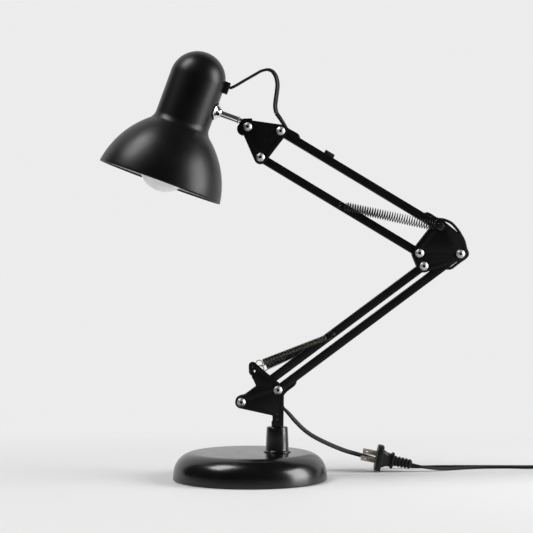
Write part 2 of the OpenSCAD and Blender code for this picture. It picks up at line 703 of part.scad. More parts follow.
// The rod ends inside the shade, rod_inset from the wall
wall_x = -shade_reach + neck_r;
strap_t = 1.5;
strap_w = 14;
strap_out = sqrt(pow(neck_r - shade_wall, 2) - pow(strap_w / 2, 2)) - 0.1;
rod_nut_h = 4;
nut_x = -shade_reach + strap_out - strap_t - body_gap;
module shade_rod() color([0.85, 0.85, 0.86]) in_head() {
    rod_x(rod_r, nut_x - rod_nut_h - 1, rod_step);
    rod_x(rod_thin_r, rod_step - eps, knuckle_root);
}
module rod_ring() color([0.6, 0.6, 0.6]) in_head() difference() {
    rod_x(rod_r + 0.4, rod_step, rod_step + ring_len);
    rod_x(rod_thin_r + seat_fit, rod_step - 1, rod_step + ring_len + 1);
}
module rod_nut() color([0.7, 0.7, 0.7]) in_head() difference() {
    translate([nut_x - rod_nut_h, 0, rod_lift]) rotate([0, 90, 0])
        cylinder(r = rod_r + 2.6, h = rod_nut_h, $fn = 6);
    rod_x(rod_r + seat_fit, nut_x - rod_nut_h - 1, nut_x + 1);
}

washer_x = wall_x + 1.9;
gasket_r = 9;
module rod_washer() color([0.85, 0.85, 0.86]) in_head() on_rod() difference() {
    union() {
        translate([0, washer_x]) square([gasket_r, 1]);
        polygon([[0, washer_x + 1], [gasket_r - 0.6, washer_x + 1], [7.6, washer_x + 2.6],
                 [5.6, washer_x + 4], [5, washer_x + 5.2], [0, washer_x + 5.2]]);
    }
    translate([-1, washer_x - 1]) square([1 + rod_r + run_fit, 10]);
}

// The shade's own frame: origin at the middle of the rim, z along its axis
module in_shade() in_head() translate([-shade_reach, 0, rod_lift - rod_above_rim]) children();

// Saddle between the flat washer and the round neck
module shade_gasket() color([0.05, 0.05, 0.05]) difference() {
    in_head() rod_x(gasket_r - 0.3, wall_x - 2, washer_x);
    in_head() rod_x(rod_r + run_fit, wall_x - 3, washer_x + 1);
    in_shade() cylinder(r = neck_r, h = neck_top, $fn = 96);
}

// Centre of the bell's curve, as [radius, height], from the rim's radius
bell_mid = [rim_r - sqrt(pow(bell_r, 2) - pow(bell_drop, 2)), -bell_drop];
// Centre of the hollow curve, which touches both the bell and the neck
fillet_x = neck_r + neck_fillet_r;
fillet_mid = [fillet_x, bell_mid[1]
    + sqrt(pow(bell_r + neck_fillet_r, 2) - pow(fillet_x - bell_mid[0], 2))];
// Half sections of the shade's outside, from the rim to the top, drawn smaller by inset
function arc(mid, r, a0, a1, steps) = [for (i = [0 : steps]) mid + polar(r, mix(a0, a1, i / steps))];
touch_angle = atan2(fillet_mid[1] - bell_mid[1], fillet_mid[0] - bell_mid[0]);
function bell_curve(inset) = concat(
    arc(bell_mid, bell_r - inset, asin(bell_drop / (bell_r - inset)), touch_angle, 20),
    arc(fillet_mid, neck_fillet_r + inset, touch_angle + 180, 180, 8));
function neck_curve(inset) = concat([[neck_r - inset, fillet_mid[1]]],
    arc([0, neck_top], neck_r - inset, 0, 90, 14));
function reversed(pts) = [for (i = [len(pts) - 1 : -1 : 0]) pts[i]];
// The shade is spun in one. Its bell and its neck are drawn as two solids that meet in a ring.
module shade() color([0.06, 0.06, 0.06]) in_shade() rotate_extrude($fn = 96)
    polygon(concat(bell_curve(0), reversed(bell_curve(shade_wall))));
module shade_neck() color([0.06, 0.06, 0.06]) difference() {
    in_shade() rotate_extrude($fn = 96)
        polygon(concat(neck_curve(0), reversed(neck_curve(shade_wall))));
    in_head() rod_x(rod_r + run_fit, wall_x - 4, wall_x + 2);
    in_shade() translate([neck_r - 6, -gland_core_w / 2 - 0.1, gland_z - gland_core_h / 2 - 0.1])
        cube([9, gland_core_w + 0.2, gland_core_h + 0.2]);
}

// Cable gland: a block seated on the neck and the dome, with a core through the wall
gland_z = neck_top + 1.9;
gland_h = 13.4;
gland_w = 9;
gland_face = neck_r + 5.3;
gland_core_w = 6.4;
gland_core_h = 5;
module cable_gland() color([0.05, 0.05, 0.05]) in_shade() {
    difference() {
        translate([neck_r - 8, 0, gland_z - gland_h / 2]) rotate([0, 90, 0])
            translate([-gland_h, -gland_w / 2, 0]) cube([gland_h, gland_w, gland_face - neck_r + 8]);
        translate([0, 0, neck_top]) sphere(r = neck_r, $fn = 96);
        cylinder(r = neck_r, h = neck_top, $fn = 96);
    }
    translate([neck_r - 4, -gland_core_w / 2, gland_z - gland_core_h / 2])
        cube([4 + 2, gland_core_w, gland_core_h]);
}

// Lamp holder, strap and bulb
holder_top = neck_top - 6;
strap_low = rod_above_rim - 9;
module lamp_holder() color([0.9, 0.88, 0.82]) in_shade() difference() {
    translate([0, 0, holder_top - holder_len]) cylinder(r = holder_r, h = holder_len);
    translate([0, 0, holder_top - holder_len - 1]) cylinder(r = cap_r + 0.5, h = cap_len + 2);
}
module holder_strap() color([0.7, 0.7, 0.7]) in_shade() difference() {
    union() {
        translate([strap_out - strap_t, -strap_w / 2, strap_low])
            cube([strap_t, strap_w, holder_top - strap_low]);
        translate([-12, -strap_w / 2, holder_top]) cube([strap_out + 12, strap_w, strap_t]);
    }
    translate([strap_out - 5, 0, rod_above_rim]) rotate([0, 90, 0]) cylinder(r = rod_r + body_gap, h = 10);
}
cap_r = 13;
cap_len = 24;
cap_wall = 0.8;
bulb_mid = bulb_r - bulb_out;
cap_low = holder_top - holder_len + 1;
bulb_neck_r = cap_r - cap_wall - seat_fit;
glass_wall = 0.8;
neck_angle = 42;
// Half section of the glass: the globe, its drawn-in neck and the tube in the cap
function glass_curve(inset) = concat(
    arc([0, bulb_mid], bulb_r - inset, -90, neck_angle, 22),
    [[bulb_neck_r + 2 - inset, cap_low - 12], [bulb_neck_r - inset, cap_low - 4],
     [bulb_neck_r - inset, cap_low + 12]]);
module bulb_glass() color([0.97, 0.97, 0.95]) in_shade() rotate_extrude($fn = 96)
    polygon(concat(glass_curve(0), reversed(glass_curve(glass_wall))));
module bulb_cap() color([0.75, 0.75, 0.75]) in_shade() difference() {
    union() {
        translate([0, 0, cap_low]) cylinder(r = cap_r, h = cap_len - 4);
        translate([0, 0, cap_low + cap_len - 4]) cylinder(r1 = cap_r - 1, r2 = 5, h = 4);
    }
    translate([0, 0, cap_low - 1]) cylinder(r = cap_r - cap_wall, h = cap_len - 4);
}

// Cord routes. Points are [x, z] in the middle plane, or [x, y, z, roll] where the cord goes
// back towards the wall; roll turns the cord's width from level (0) to upright (90).

bar_out = [sin(upper_angle), -cos(upper_angle)];
function upper_face(x) = d + polar(x, upper_angle) + bar_out * bar_y;
lower_out = [sin(lower_angle), -cos(lower_angle)];
function lower_face(x) = p2 + polar(x, lower_angle) + lower_out * bar_y;

gland_exit = head_xz([-shade_reach + gland_face, rod_lift - rod_above_rim + gland_z + 1.9]);
head_way = [cos(head_tilt), -sin(head_tilt)];
// Points of the loops, counted from the pivot that each loop passes
head_loop = [
    [-52.06, 52.39], [-41.36, 58.69], [-31.06, 64.59], [-22.96, 69.29], [-15.66, 71.09],
    [-9.76, 69.29], [-5.36, 63.09], [-3.56, 54.29], [-4.26, 45.49], [-5.36, 36.69], [-6.06, 27.89],
    [-5.06, 20.49], [-0.26, 14.29], [7.44, 6.89], [15.44, 1.09], [20.34, -2.51]];
head_route = [for (p = concat([gland_exit, gland_exit + head_way * 1.6],
    [for (q = head_loop) f + q], [upper_face(upper_len - slot_at)])) xz(p)];
module head_cord() color([0.06, 0.06, 0.06])
    cord(head_route, along_y(head_route), xz(head_way), xz(-bar_out));

elbow_loop = [
    [-38.33, 49.34], [-33.73, 47.84], [-26.33, 42.44], [-17.83, 41.44], [-7.23, 35.64],
    [1.57, 25.74], [5.87, 17.44], [8.97, 7.84], [12.17, 0.64], [8.97, -4.56], [1.37, -9.96],
    [-5.83, -15.36], [-11.43, -19.06]];
elbow_route = [for (p = concat([upper_face(slot_at)], [for (q = elbow_loop) c + q],
    [lower_face(lower_len - slot_at)])) xz(p)];
module elbow_cord() color([0.06, 0.06, 0.06])
    cord(elbow_route, along_y(elbow_route), xz(bar_out), xz(-lower_out));

bracket_loop = [
    [20.04, 6.32], [14.64, 1.42], [8.44, -3.58], [4.64, -9.98], [4.04, -16.48], [6.64, -21.38]];
bracket_route = [for (p = concat([lower_face(slot_at)], [for (q = bracket_loop) p2 + q])) xz(p)];
exit_way = unit([0.69, 0, -0.72]);
module bracket_cord() color([0.06, 0.06, 0.06])
    cord(bracket_route, along_y(bracket_route), xz(lower_out), exit_way);

// Half the cord's thickness, where it lies flat, and half its width, where it stands on edge
flat_z = cord_t / 2;
edge_z = cord_w / 2;
supply_points = [
    [p2[0] + 6.64, 0, p2[1] - 21.38, 0], [p2[0] + 12.94, 0.6, p2[1] - 27.98, 0], [51.5, 2.8, 67.2, 8], [61.3, 9, 56.9, 22],
    [71.1, 19, 48.7, 38], [83.1, 32, 41, 52], [97.2, 46, 33.2, 62], [111.6, 60, 26.2, 66],
    [120, 68.6, 22.8, 66], [128.2, 76, 19.8, 64], [138, 82.4, 16.4, 60], [151.9, 88.2, 12, 50],
    [164, 92.4, 8.6, 36], [176, 96, 5.6, 20], [188, 99.2, 3.2, 6], [200, 101.6, flat_z, 0],
    [213, 103.6, flat_z, 0], [226, 104.8, flat_z, 0], [242, 105.4, flat_z, 0],
    [260, 105.6, flat_z, 0], [280, 105.4, flat_z, 0], [300, 105.2, flat_z, 0],
    [320, 104.8, flat_z, 0], [340, 104.2, flat_z, 0], [356, 103.4, 1.9, 10],
    [370, 102.8, 2.2, 35], [384, 102.2, 2.6, 65], [398, 101.6, edge_z, 88],
    [410, 101.4, edge_z, 90]];

// Where the coil starts: at its back, heading to the right
coil_pitch = cord_t + 0.5;
coil_step = cord_w + 0.5;
coil_outer = coil_r + coil_pitch * coil_layer_turns / 2;
coil_x = supply_points[len(supply_points) - 1][0];
coil_y = supply_points[len(supply_points) - 1][1] - coil_outer;
coil_turns = 2 * coil_layer_turns - 0.25;
loop_steps = 24;
function climb(t) = let (k = min(1, max(0, t))) k * k * (3 - 2 * k);
// Two layers: in along the lower one, up in the half turn where it turns back, out again
function coil_point(turns) =
    let (back = coil_layer_turns, r = coil_outer - coil_pitch * (back - abs(turns - back)),
         z = edge_z + coil_step * climb(turns - back + 0.5))
    [coil_x + r * sin(360 * turns), coil_y + r * cos(360 * turns), z];
coil_route = [for (i = [0 : round(coil_turns * loop_steps)]) coil_point(i / loop_steps)];
module cord_coil() color([0.06, 0.06, 0.06])
    cord(coil_route, [for (p = coil_route) [0, 0, 1]], [1, 0, 0], [0, 1, 0],
         [[1, 0], [0.6, 1], [-0.6, 1], [-1, 0], [-0.6, -1], [0.6, -1]]);
echo("least gap of the coil to itself", least_gap(coil_route, 0, loop_steps - 3) - cord_t);

function level_side(t) = unit(cross(t, [0, 0, 1]));
function rolled(pts, i) =
    let (xyz = [for (p = pts) [p[0], p[1], p[2]]], t = way(xyz, i), u = level_side(t))
    u * cos(pts[i][3]) + cross(t, u) * sin(pts[i][3]);
module rolled_cord(points, first, last) {
    route = [for (p = points) [p[0], p[1], p[2]]];
    cord(route, [for (i = [0 : len(points) - 1]) rolled(points, i)], first, last);
}
module supply_cord() color([0.06, 0.06, 0.06]) rolled_cord(supply_points, exit_way, [1, 0, 0]);

// The plug lies on the table on the edge of its flange, its axis a little down to the right
plug_y = 68;
plug_slope = 11.5;
plug_face = [149.6, plug_y, 17.3];
plug_dir = [cos(plug_slope), 0, -sin(plug_slope)];
plug_end = plug_face + plug_dir * (flange_t + grip_len + relief_len);
coil_end = coil_route[len(coil_route) - 1];
plug_points = concat(
    [[coil_end[0], coil_end[1], coil_end[2], 90]],
    [[coil_end[0] - 0.8, coil_end[1] + 8, 8.6, 88], [coil_end[0] - 4.2, coil_end[1] + 17, 7.4, 80],
     [coil_end[0] - 10.4, coil_end[1] + 24.6, 5.8, 65], [coil_end[0] - 19, coil_end[1] + 30, 4, 40],
     [coil_end[0] - 28.6, coil_end[1] + 32.6, 2.4, 15], [coil_end[0] - 38, coil_end[1] + 33, flat_z, 0],
     [318, 96.3, flat_z, 0], [302, 92.6, flat_z, 0], [286, 88, flat_z, 0], [270, 83, flat_z, 0],
     [254, 78, flat_z, 0], [238, 74.2, flat_z, 0], [224, 71, 2.6, 0], [212, 68.6, 4.4, 0],
     [202, 67.2, 6.2, 0]],
    [[plug_end[0], plug_end[1], plug_end[2], 0]]);
module plug_cord() color([0.06, 0.06, 0.06]) rolled_cord(plug_points, [0, 1, 0], -plug_dir);

module in_plug() translate(plug_face) rotate([0, 90 + plug_slope, 0]) children();
// Rounded plate square to the plug's axis: its local -x is up
module plug_slab(h, w, r, t) linear_extrude(t)
    polygon(outline([[h / 2 - r, -w / 2 + r, r], [h / 2 - r, w / 2 - r, r],
                     [-h / 2 + r, w / 2 - r, r], [-h / 2 + r, -w / 2 + r, r]]));
grip_h = 22;
grip_w = 17;
relief_r = 4.3;
module plug_body() color([0.05, 0.05, 0.05]) in_plug() {
    plug_slab(flange_h, flange_w, 8, flange_t);
    translate([0, 0, flange_t - eps]) hull() {
        linear_extrude(1) circle(d = grip_w);
        translate([-grip_h / 2 + 6, -grip_w / 2 + 2, 0]) cube([grip_h - 6, grip_w - 4, 1]);
        translate([0, 0, grip_len - 1]) cylinder(r = relief_r + 1.2, h = 1 + eps);
    }
    translate([0, 0, flange_t + grip_len - eps]) cylinder(r = relief_r - 0.9, h = relief_len + eps);
    rib_pitch = relief_len / relief_ribs;
    for (i = [0 : relief_ribs - 1])
        translate([0, 0, flange_t + grip_len + i * rib_pitch + rib_pitch / 2 - 0.9])
            cylinder(r = relief_r - 0.15 * i, h = 1.8);
}

blade_t = 1.5;
blade_turn = -49;
module blade(width) difference() {
    translate([-width / 2, -blade_t / 2, -blade_len]) cube([width, blade_t, blade_len]);
    rotate([90, 0, 0]) translate([0, -9, -2]) cylinder(d = 3, h = 4);
}
module plug_blades() color([0.8, 0.7, 0.5]) in_plug() rotate([0, 0, blade_turn]) {
    translate([0, -blade_pitch / 2, 0]) blade(7.9);
    translate([0, blade_pitch / 2, 0]) blade(6.35);
}

base_cover();
base_weight();
base_plate();
base_foot_pad();
post_collar();
collar_nut();
swivel_spindle();
spindle_ring();
bracket_front_cheek();
bracket_rear_cheek();
bracket_rivets();
bracket_screws();
bracket_nuts();
bracket_washers();
lower_spring_bar();
lower_cable_bar();
lower_spring_pin();
lower_lead();
lower_spring_front();
lower_spring_rear();
elbow_front_plate();
elbow_rear_plate();
elbow_screws();
elbow_nuts();
elbow_pin();
elbow_washers();
upper_spring_bar();
upper_cable_bar();
upper_spring_pin();
upper_lead();
bar_clip();
upper_spring_front();
upper_spring_rear();
upper_spring_eyes();
head_front_plate();
head_rear_plate();
head_screws();
head_nuts();
head_washers();
knuckle();
shade_rod();
rod_ring();
rod_nut();
rod_washer();
shade_gasket();
shade();
shade_neck();
cable_gland();
lamp_holder();
holder_strap();
bulb_glass();
bulb_cap();
head_cord();
elbow_cord();
bracket_cord();
supply_cord();
cord_coil();
plug_cord();
plug_body();
plug_blades();
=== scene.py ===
"""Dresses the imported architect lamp: enamelled bars and shade, bright screws, springs and a flat cord."""

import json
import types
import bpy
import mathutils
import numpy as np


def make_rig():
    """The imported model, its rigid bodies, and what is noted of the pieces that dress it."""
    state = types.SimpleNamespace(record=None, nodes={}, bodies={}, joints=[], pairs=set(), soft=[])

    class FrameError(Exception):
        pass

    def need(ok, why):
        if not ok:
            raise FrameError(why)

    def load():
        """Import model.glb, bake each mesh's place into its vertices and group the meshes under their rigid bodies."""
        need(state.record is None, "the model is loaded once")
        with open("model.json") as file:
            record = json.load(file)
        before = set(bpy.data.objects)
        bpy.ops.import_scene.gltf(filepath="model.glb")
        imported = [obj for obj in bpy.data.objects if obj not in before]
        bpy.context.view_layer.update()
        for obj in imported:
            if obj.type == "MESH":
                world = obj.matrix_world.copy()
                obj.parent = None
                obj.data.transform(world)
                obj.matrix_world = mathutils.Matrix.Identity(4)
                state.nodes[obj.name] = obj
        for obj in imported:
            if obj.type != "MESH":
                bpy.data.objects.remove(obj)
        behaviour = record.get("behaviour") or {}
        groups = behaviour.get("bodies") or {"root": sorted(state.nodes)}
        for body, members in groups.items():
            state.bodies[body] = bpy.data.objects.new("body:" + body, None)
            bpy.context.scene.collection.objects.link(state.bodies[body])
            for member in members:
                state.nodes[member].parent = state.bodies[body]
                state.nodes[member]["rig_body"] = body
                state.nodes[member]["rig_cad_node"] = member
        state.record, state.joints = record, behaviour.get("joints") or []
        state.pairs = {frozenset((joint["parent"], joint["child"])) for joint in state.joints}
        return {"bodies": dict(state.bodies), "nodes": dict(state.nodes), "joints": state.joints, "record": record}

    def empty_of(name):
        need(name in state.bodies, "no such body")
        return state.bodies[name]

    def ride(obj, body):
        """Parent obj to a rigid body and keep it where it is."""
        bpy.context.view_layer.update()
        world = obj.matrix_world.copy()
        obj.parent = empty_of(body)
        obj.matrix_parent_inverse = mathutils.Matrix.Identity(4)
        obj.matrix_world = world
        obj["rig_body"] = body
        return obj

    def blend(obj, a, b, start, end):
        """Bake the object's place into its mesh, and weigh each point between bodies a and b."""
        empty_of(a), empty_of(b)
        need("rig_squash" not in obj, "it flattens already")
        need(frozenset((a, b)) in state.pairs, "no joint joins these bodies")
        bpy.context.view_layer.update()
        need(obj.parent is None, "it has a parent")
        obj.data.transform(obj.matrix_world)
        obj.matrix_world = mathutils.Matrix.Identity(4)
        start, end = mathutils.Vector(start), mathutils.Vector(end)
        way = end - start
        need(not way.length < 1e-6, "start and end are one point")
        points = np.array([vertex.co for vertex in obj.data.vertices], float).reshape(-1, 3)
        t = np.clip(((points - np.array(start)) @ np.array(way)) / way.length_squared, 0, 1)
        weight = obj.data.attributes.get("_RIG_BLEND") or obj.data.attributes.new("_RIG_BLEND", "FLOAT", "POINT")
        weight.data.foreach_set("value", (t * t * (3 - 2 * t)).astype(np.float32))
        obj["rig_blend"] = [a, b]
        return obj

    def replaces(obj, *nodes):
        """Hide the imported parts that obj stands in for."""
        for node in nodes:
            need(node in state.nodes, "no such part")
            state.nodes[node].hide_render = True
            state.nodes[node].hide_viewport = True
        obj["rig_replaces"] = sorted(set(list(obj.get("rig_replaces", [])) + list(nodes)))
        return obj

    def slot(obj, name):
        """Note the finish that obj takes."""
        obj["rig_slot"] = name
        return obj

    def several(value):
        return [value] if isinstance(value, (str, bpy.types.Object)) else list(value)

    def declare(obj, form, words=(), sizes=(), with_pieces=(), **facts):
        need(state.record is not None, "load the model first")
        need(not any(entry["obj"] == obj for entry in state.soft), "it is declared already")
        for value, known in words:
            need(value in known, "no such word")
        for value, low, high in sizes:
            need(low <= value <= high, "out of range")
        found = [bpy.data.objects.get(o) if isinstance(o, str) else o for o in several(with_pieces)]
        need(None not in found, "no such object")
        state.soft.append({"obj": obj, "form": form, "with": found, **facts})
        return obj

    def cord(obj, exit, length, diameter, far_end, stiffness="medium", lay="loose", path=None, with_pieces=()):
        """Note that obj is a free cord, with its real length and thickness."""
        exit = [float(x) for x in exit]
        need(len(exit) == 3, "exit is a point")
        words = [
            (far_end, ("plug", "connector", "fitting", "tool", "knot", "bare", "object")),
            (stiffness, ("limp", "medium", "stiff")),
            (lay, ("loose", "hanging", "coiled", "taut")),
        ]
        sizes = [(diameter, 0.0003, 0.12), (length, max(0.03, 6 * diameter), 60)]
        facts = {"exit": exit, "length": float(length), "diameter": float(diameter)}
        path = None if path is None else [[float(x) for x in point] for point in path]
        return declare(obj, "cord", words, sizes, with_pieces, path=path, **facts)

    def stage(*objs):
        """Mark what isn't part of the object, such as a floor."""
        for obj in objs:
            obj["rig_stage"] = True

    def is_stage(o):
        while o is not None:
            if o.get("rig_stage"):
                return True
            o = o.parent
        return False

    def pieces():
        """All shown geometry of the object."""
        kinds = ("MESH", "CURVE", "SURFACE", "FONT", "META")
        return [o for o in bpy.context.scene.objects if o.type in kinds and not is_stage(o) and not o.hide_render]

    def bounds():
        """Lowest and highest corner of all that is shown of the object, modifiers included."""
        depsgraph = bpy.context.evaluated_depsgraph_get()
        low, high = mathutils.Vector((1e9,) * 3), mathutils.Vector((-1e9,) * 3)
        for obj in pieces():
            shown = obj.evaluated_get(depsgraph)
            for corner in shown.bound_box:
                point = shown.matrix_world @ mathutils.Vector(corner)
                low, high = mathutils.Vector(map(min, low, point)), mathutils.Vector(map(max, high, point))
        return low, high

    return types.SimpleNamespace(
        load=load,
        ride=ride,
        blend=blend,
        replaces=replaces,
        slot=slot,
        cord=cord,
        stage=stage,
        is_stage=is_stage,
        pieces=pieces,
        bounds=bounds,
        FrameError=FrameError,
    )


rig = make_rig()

bl_info = {
    "name": "Architect Lamp",
    "version": (1, 0, 0),
    "blender": (4, 5, 0),
    "location": "View3D > Sidebar > Lamp",
    "description": "Models the looks of a desk lamp with two sprung arms on its packed frame",
    "category": "Add Mesh",
}

import json
from math import asin, atan2, cos, degrees, hypot, pi, radians, sin, sqrt, tan

import bpy
from mathutils import Matrix, Vector

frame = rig.load()
CAD_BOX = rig.bounds()
MM = 0.001

# ---- Places. All are in millimetres, the same values as the solids are built from


def polar(radius, angle):
    return Vector((radius * cos(radians(angle)), radius * sin(radians(angle))))


def space(point, y=0.0):
    """A point of the XZ drawing plane as a point in space, in metres."""
    return Vector((point[0], y, point[1])) * MM


def shift(point, y=0.0):
    return Matrix.Translation(space(point, y))


def turned_by(angle, axis="Y"):
    return Matrix.Rotation(radians(angle), 4, axis)


BASE_D, BASE_H, SHOULDER_R, SIDE_SLOPE = 177.6, 31.4, 24.0, 5.0
COLLAR_H, COLLAR_FOOT_R, COLLAR_LOW_R, COLLAR_TOP_R = 29.2, 15.6, 13.2, 12.1
COLLAR_TOP = BASE_H + COLLAR_H
POST_X = 31.2
LOWER_LEN, LOWER_ANGLE = 261.0, 36.7
UPPER_LEN, UPPER_ANGLE = 213.0, 148.93
BAR_HALF = 4.8
SLOT_AT = 21.4
CHEEK_IN, CHEEK_OUT = 7.0, 9.0
PLATE_OUT = 7.3
HEAD_TILT = 20.1
SHADE_REACH, ROD_LIFT, ROD_ABOVE_RIM, SHADE_WALL = 72.9, 4.1, 98.4, 0.8

PIVOT_P1 = Vector((POST_X - 41.2, 89.1))
PIVOT_P2 = PIVOT_P1 + polar(44.2, 18.3)
PIVOT_B = PIVOT_P1 + polar(LOWER_LEN, LOWER_ANGLE)
PIVOT_C = PIVOT_P2 + polar(LOWER_LEN, LOWER_ANGLE)
PIVOT_A = PIVOT_B + polar(15.6, 108.5)
PIVOT_D = PIVOT_A + polar(38.0, 52.4)
PIVOT_E = PIVOT_A + polar(UPPER_LEN, UPPER_ANGLE)
PIVOT_F = PIVOT_D + polar(UPPER_LEN, UPPER_ANGLE)
PIVOT_S = PIVOT_E + polar(38.0, 112.8)
LOWER_MID = PIVOT_P1 + polar(LOWER_LEN / 2, LOWER_ANGLE)
UPPER_MID = PIVOT_A + polar(UPPER_LEN / 2, UPPER_ANGLE)


def in_bar(pivot, angle):
    return shift(pivot) @ turned_by(-angle)


IN_HEAD = shift(PIVOT_S) @ turned_by(HEAD_TILT)
IN_SHADE = IN_HEAD @ shift((-SHADE_REACH, ROD_LIFT - ROD_ABOVE_RIM))
ON_ROD = IN_HEAD @ shift((0, ROD_LIFT)) @ turned_by(90)
ON_POST = shift((POST_X, 0))
PLUG_SLOPE, PLUG_LEN, RIB_PITCH = 11.5, 43, 4.2
PLUG_FACE = Vector((149.6, 68.0, 17.3))
PLUG_WAY = Vector((cos(radians(PLUG_SLOPE)), 0, -sin(radians(PLUG_SLOPE))))
IN_PLUG = Matrix.Translation(PLUG_FACE * MM) @ turned_by(90 + PLUG_SLOPE)
FACING_FRONT, FACING_BACK = turned_by(90, "X"), turned_by(-90, "X")    # local Z points to that side


# ---- Sizes and colours that a user may change


def length_setting(name, about, default, low, high):
    """A length that a user may change. The numbers are in millimetres."""
    return bpy.props.FloatProperty(name=name, description=about, default=default * MM, min=low * MM,
                                   max=high * MM, unit="LENGTH", precision=4)


def colour_setting(name, about, *default):
    return bpy.props.FloatVectorProperty(name=name, description=about, subtype="COLOR",
                                         default=default, min=0, max=1)


def power_setting(name, about, power):
    return bpy.props.FloatProperty(name=name, description=about, default=power, min=0, max=200, unit="POWER")


class LampSizes(bpy.types.PropertyGroup):
    """Sizes of the details that are modelled here."""

    bar_corner: length_setting("Bar corner", "Radius of the square tubes' corners", 1.0, 0.2, 2)
    plate_edge: length_setting("Plate edge", "Rounding of the stamped plates' edges", 0.3, 0.05, 0.6)
    lower_curls: bpy.props.IntProperty(
        name="Lower curls", description="Curls of each lower spring", default=66, min=20, max=85)
    upper_curls: bpy.props.IntProperty(
        name="Upper curls", description="Curls of each upper spring", default=36, min=20, max=70)
    wire: length_setting("Lower wire", "Diameter of the lower springs' wire", 0.95, 0.5, 1.2)
    upper_wire: length_setting("Upper wire", "Diameter of the upper springs' wire", 0.85, 0.5, 1.4)
    cord_width: length_setting("Cord width", "Width of the flat cord", 5.6, 4, 7)
    cord_thickness: length_setting("Cord thickness", "Thickness of the flat cord", 3.2, 2, 4)


class LampColours(bpy.types.PropertyGroup):
    """Colours of the lamp's finishes."""

    enamel: colour_setting("Enamel", "Outside of the shade, the base and the arms", 0.0022, 0.0022, 0.0024)
    shade_inside: colour_setting("Inside of the shade", "Pale enamel that throws the light back",
                                 0.5, 0.54, 0.56)
    wire_lower: colour_setting("Lower springs", "Colour of the lower springs' wire", 0.065, 0.062, 0.052)
    wire_upper: colour_setting("Upper springs", "Colour of the upper springs' wire", 0.03, 0.03, 0.03)
    cord: colour_setting("Cord", "Colour of the cord", 0.006, 0.006, 0.0064)


class StageSettings(bpy.types.PropertyGroup):
    """The floor and the lamps round the object."""

    floor: colour_setting("Floor", "Colour of the floor and the backdrop", 0.84, 0.84, 0.84)
    key_power: power_setting("Left lamp", "Power of the high soft lamp on the left", 36.0)
    fill_power: power_setting("Right lamp", "Power of the soft lamp on the right", 48.0)
    sky: bpy.props.FloatProperty(
        name="Room", description="Brightness of the room round the stage", default=0.06, min=0, max=1)


# ---- Modelling steps that the operators share


def pick(*objects):
    """Selects these objects alone, the first one active."""
    bpy.ops.object.select_all(action="DESELECT")
    for one in objects:
        one.select_set(True)
    bpy.context.view_layer.objects.active = objects[0]


def discard(*objects):
    pick(*objects)
    bpy.ops.object.delete()


def name_piece(name):
    piece = bpy.context.object
    piece.name = piece.data.name = name
    return piece


def new_object(name, mesh):
    piece = bpy.data.objects.new(name, mesh)
    bpy.context.scene.collection.objects.link(piece)
    return piece


def open_mesh(piece):
    """Starts to edit a piece with what is chosen in it."""
    pick(piece)
    bpy.ops.object.mode_set(mode="EDIT")


def start_edit(piece, select="SELECT"):
    open_mesh(piece)
    bpy.ops.mesh.select_all(action=select)


def end_edit():
    bpy.ops.object.mode_set(mode="OBJECT")


def choose(piece, mode, wanted):
    """Selects the edges or faces of a piece that a test accepts. It is in object mode before and after."""
    start_edit(piece, "DESELECT")
    bpy.ops.mesh.select_mode(type=mode)
    end_edit()
    parts = piece.data.edges if mode == "EDGE" else piece.data.polygons
    for part in parts:
        part.select = wanted(part)


def open_end(piece, axis, side):
    """Starts to edit a piece with the faces at one of its ends chosen."""
    choose(piece, "FACE", lambda face: face.normal[axis] * side > 0.9)
    open_mesh(piece)


def extrude(step):
    """Extrudes what is chosen in the open mesh."""
    bpy.ops.mesh.extrude_region_move(TRANSFORM_OT_translate={"value": step})


def is_upright(a, b):
    """Whether an edge between these two ends stands, rather than lies level."""
    return abs(a.z - b.z) > 0.1 * MM


def bevel_edges(piece, wanted, width, segments):
    """Bevels the edges of a piece whose two ends a test accepts."""
    ends = piece.data.vertices
    choose(piece, "EDGE", lambda edge: wanted(*(ends[i].co for i in edge.vertices)))
    open_mesh(piece)
    bpy.ops.mesh.bevel(offset=width, segments=segments, affect="EDGES")
    end_edit()


def settle(piece, place=None):
    """Moves a piece from its own drawing frame to its place, and puts the place into its mesh."""
    pick(piece)
    if place is not None:
        piece.matrix_world = place @ piece.matrix_world
    bpy.ops.object.transform_apply(location=True, rotation=True, scale=True)
    return piece


def smooth(piece, angle=35):
    pick(piece)
    bpy.ops.object.shade_smooth_by_angle(angle=radians(angle))
    return piece


def add_modifier(piece, kind, **settings):
    """Adds a modifier with these settings and applies it."""
    pick(piece)
    modifier = piece.modifiers.new(kind.title(), kind)
    for key, value in settings.items():
        setattr(modifier, key, value)
    bpy.ops.object.modifier_apply(modifier=modifier.name)
    return piece


def round_edges(piece, width, segments=2, angle=38):
    """Bevels the sharp edges of a finished form."""
    return add_modifier(piece, "BEVEL", width=width, segments=segments, limit_method="ANGLE",
                        angle_limit=radians(angle))


def cut(piece, cutter):
    """Cuts one piece out of another, and removes the cutter."""
    add_modifier(piece, "BOOLEAN", operation="DIFFERENCE", solver="EXACT", object=cutter)
    discard(cutter)
    return piece


def join(name, pieces):
    pick(*pieces)
    bpy.ops.object.join()
    return name_piece(name)


def drawn_line(name, points):
    """A chain of edges in the XZ plane, extruded one corner at a time. Points are [x, z]."""
    bpy.ops.mesh.primitive_plane_add(size=1 * MM, location=(0, 0, 0))
    piece = name_piece(name)
    start_edit(piece)
    bpy.ops.mesh.select_mode(type="VERT")
    bpy.ops.mesh.merge(type="CENTER")
    bpy.ops.transform.translate(value=space(points[0]))
    for before, here in zip(points, points[1:]):
        extrude(space(here) - space(before))
    end_edit()
    return piece


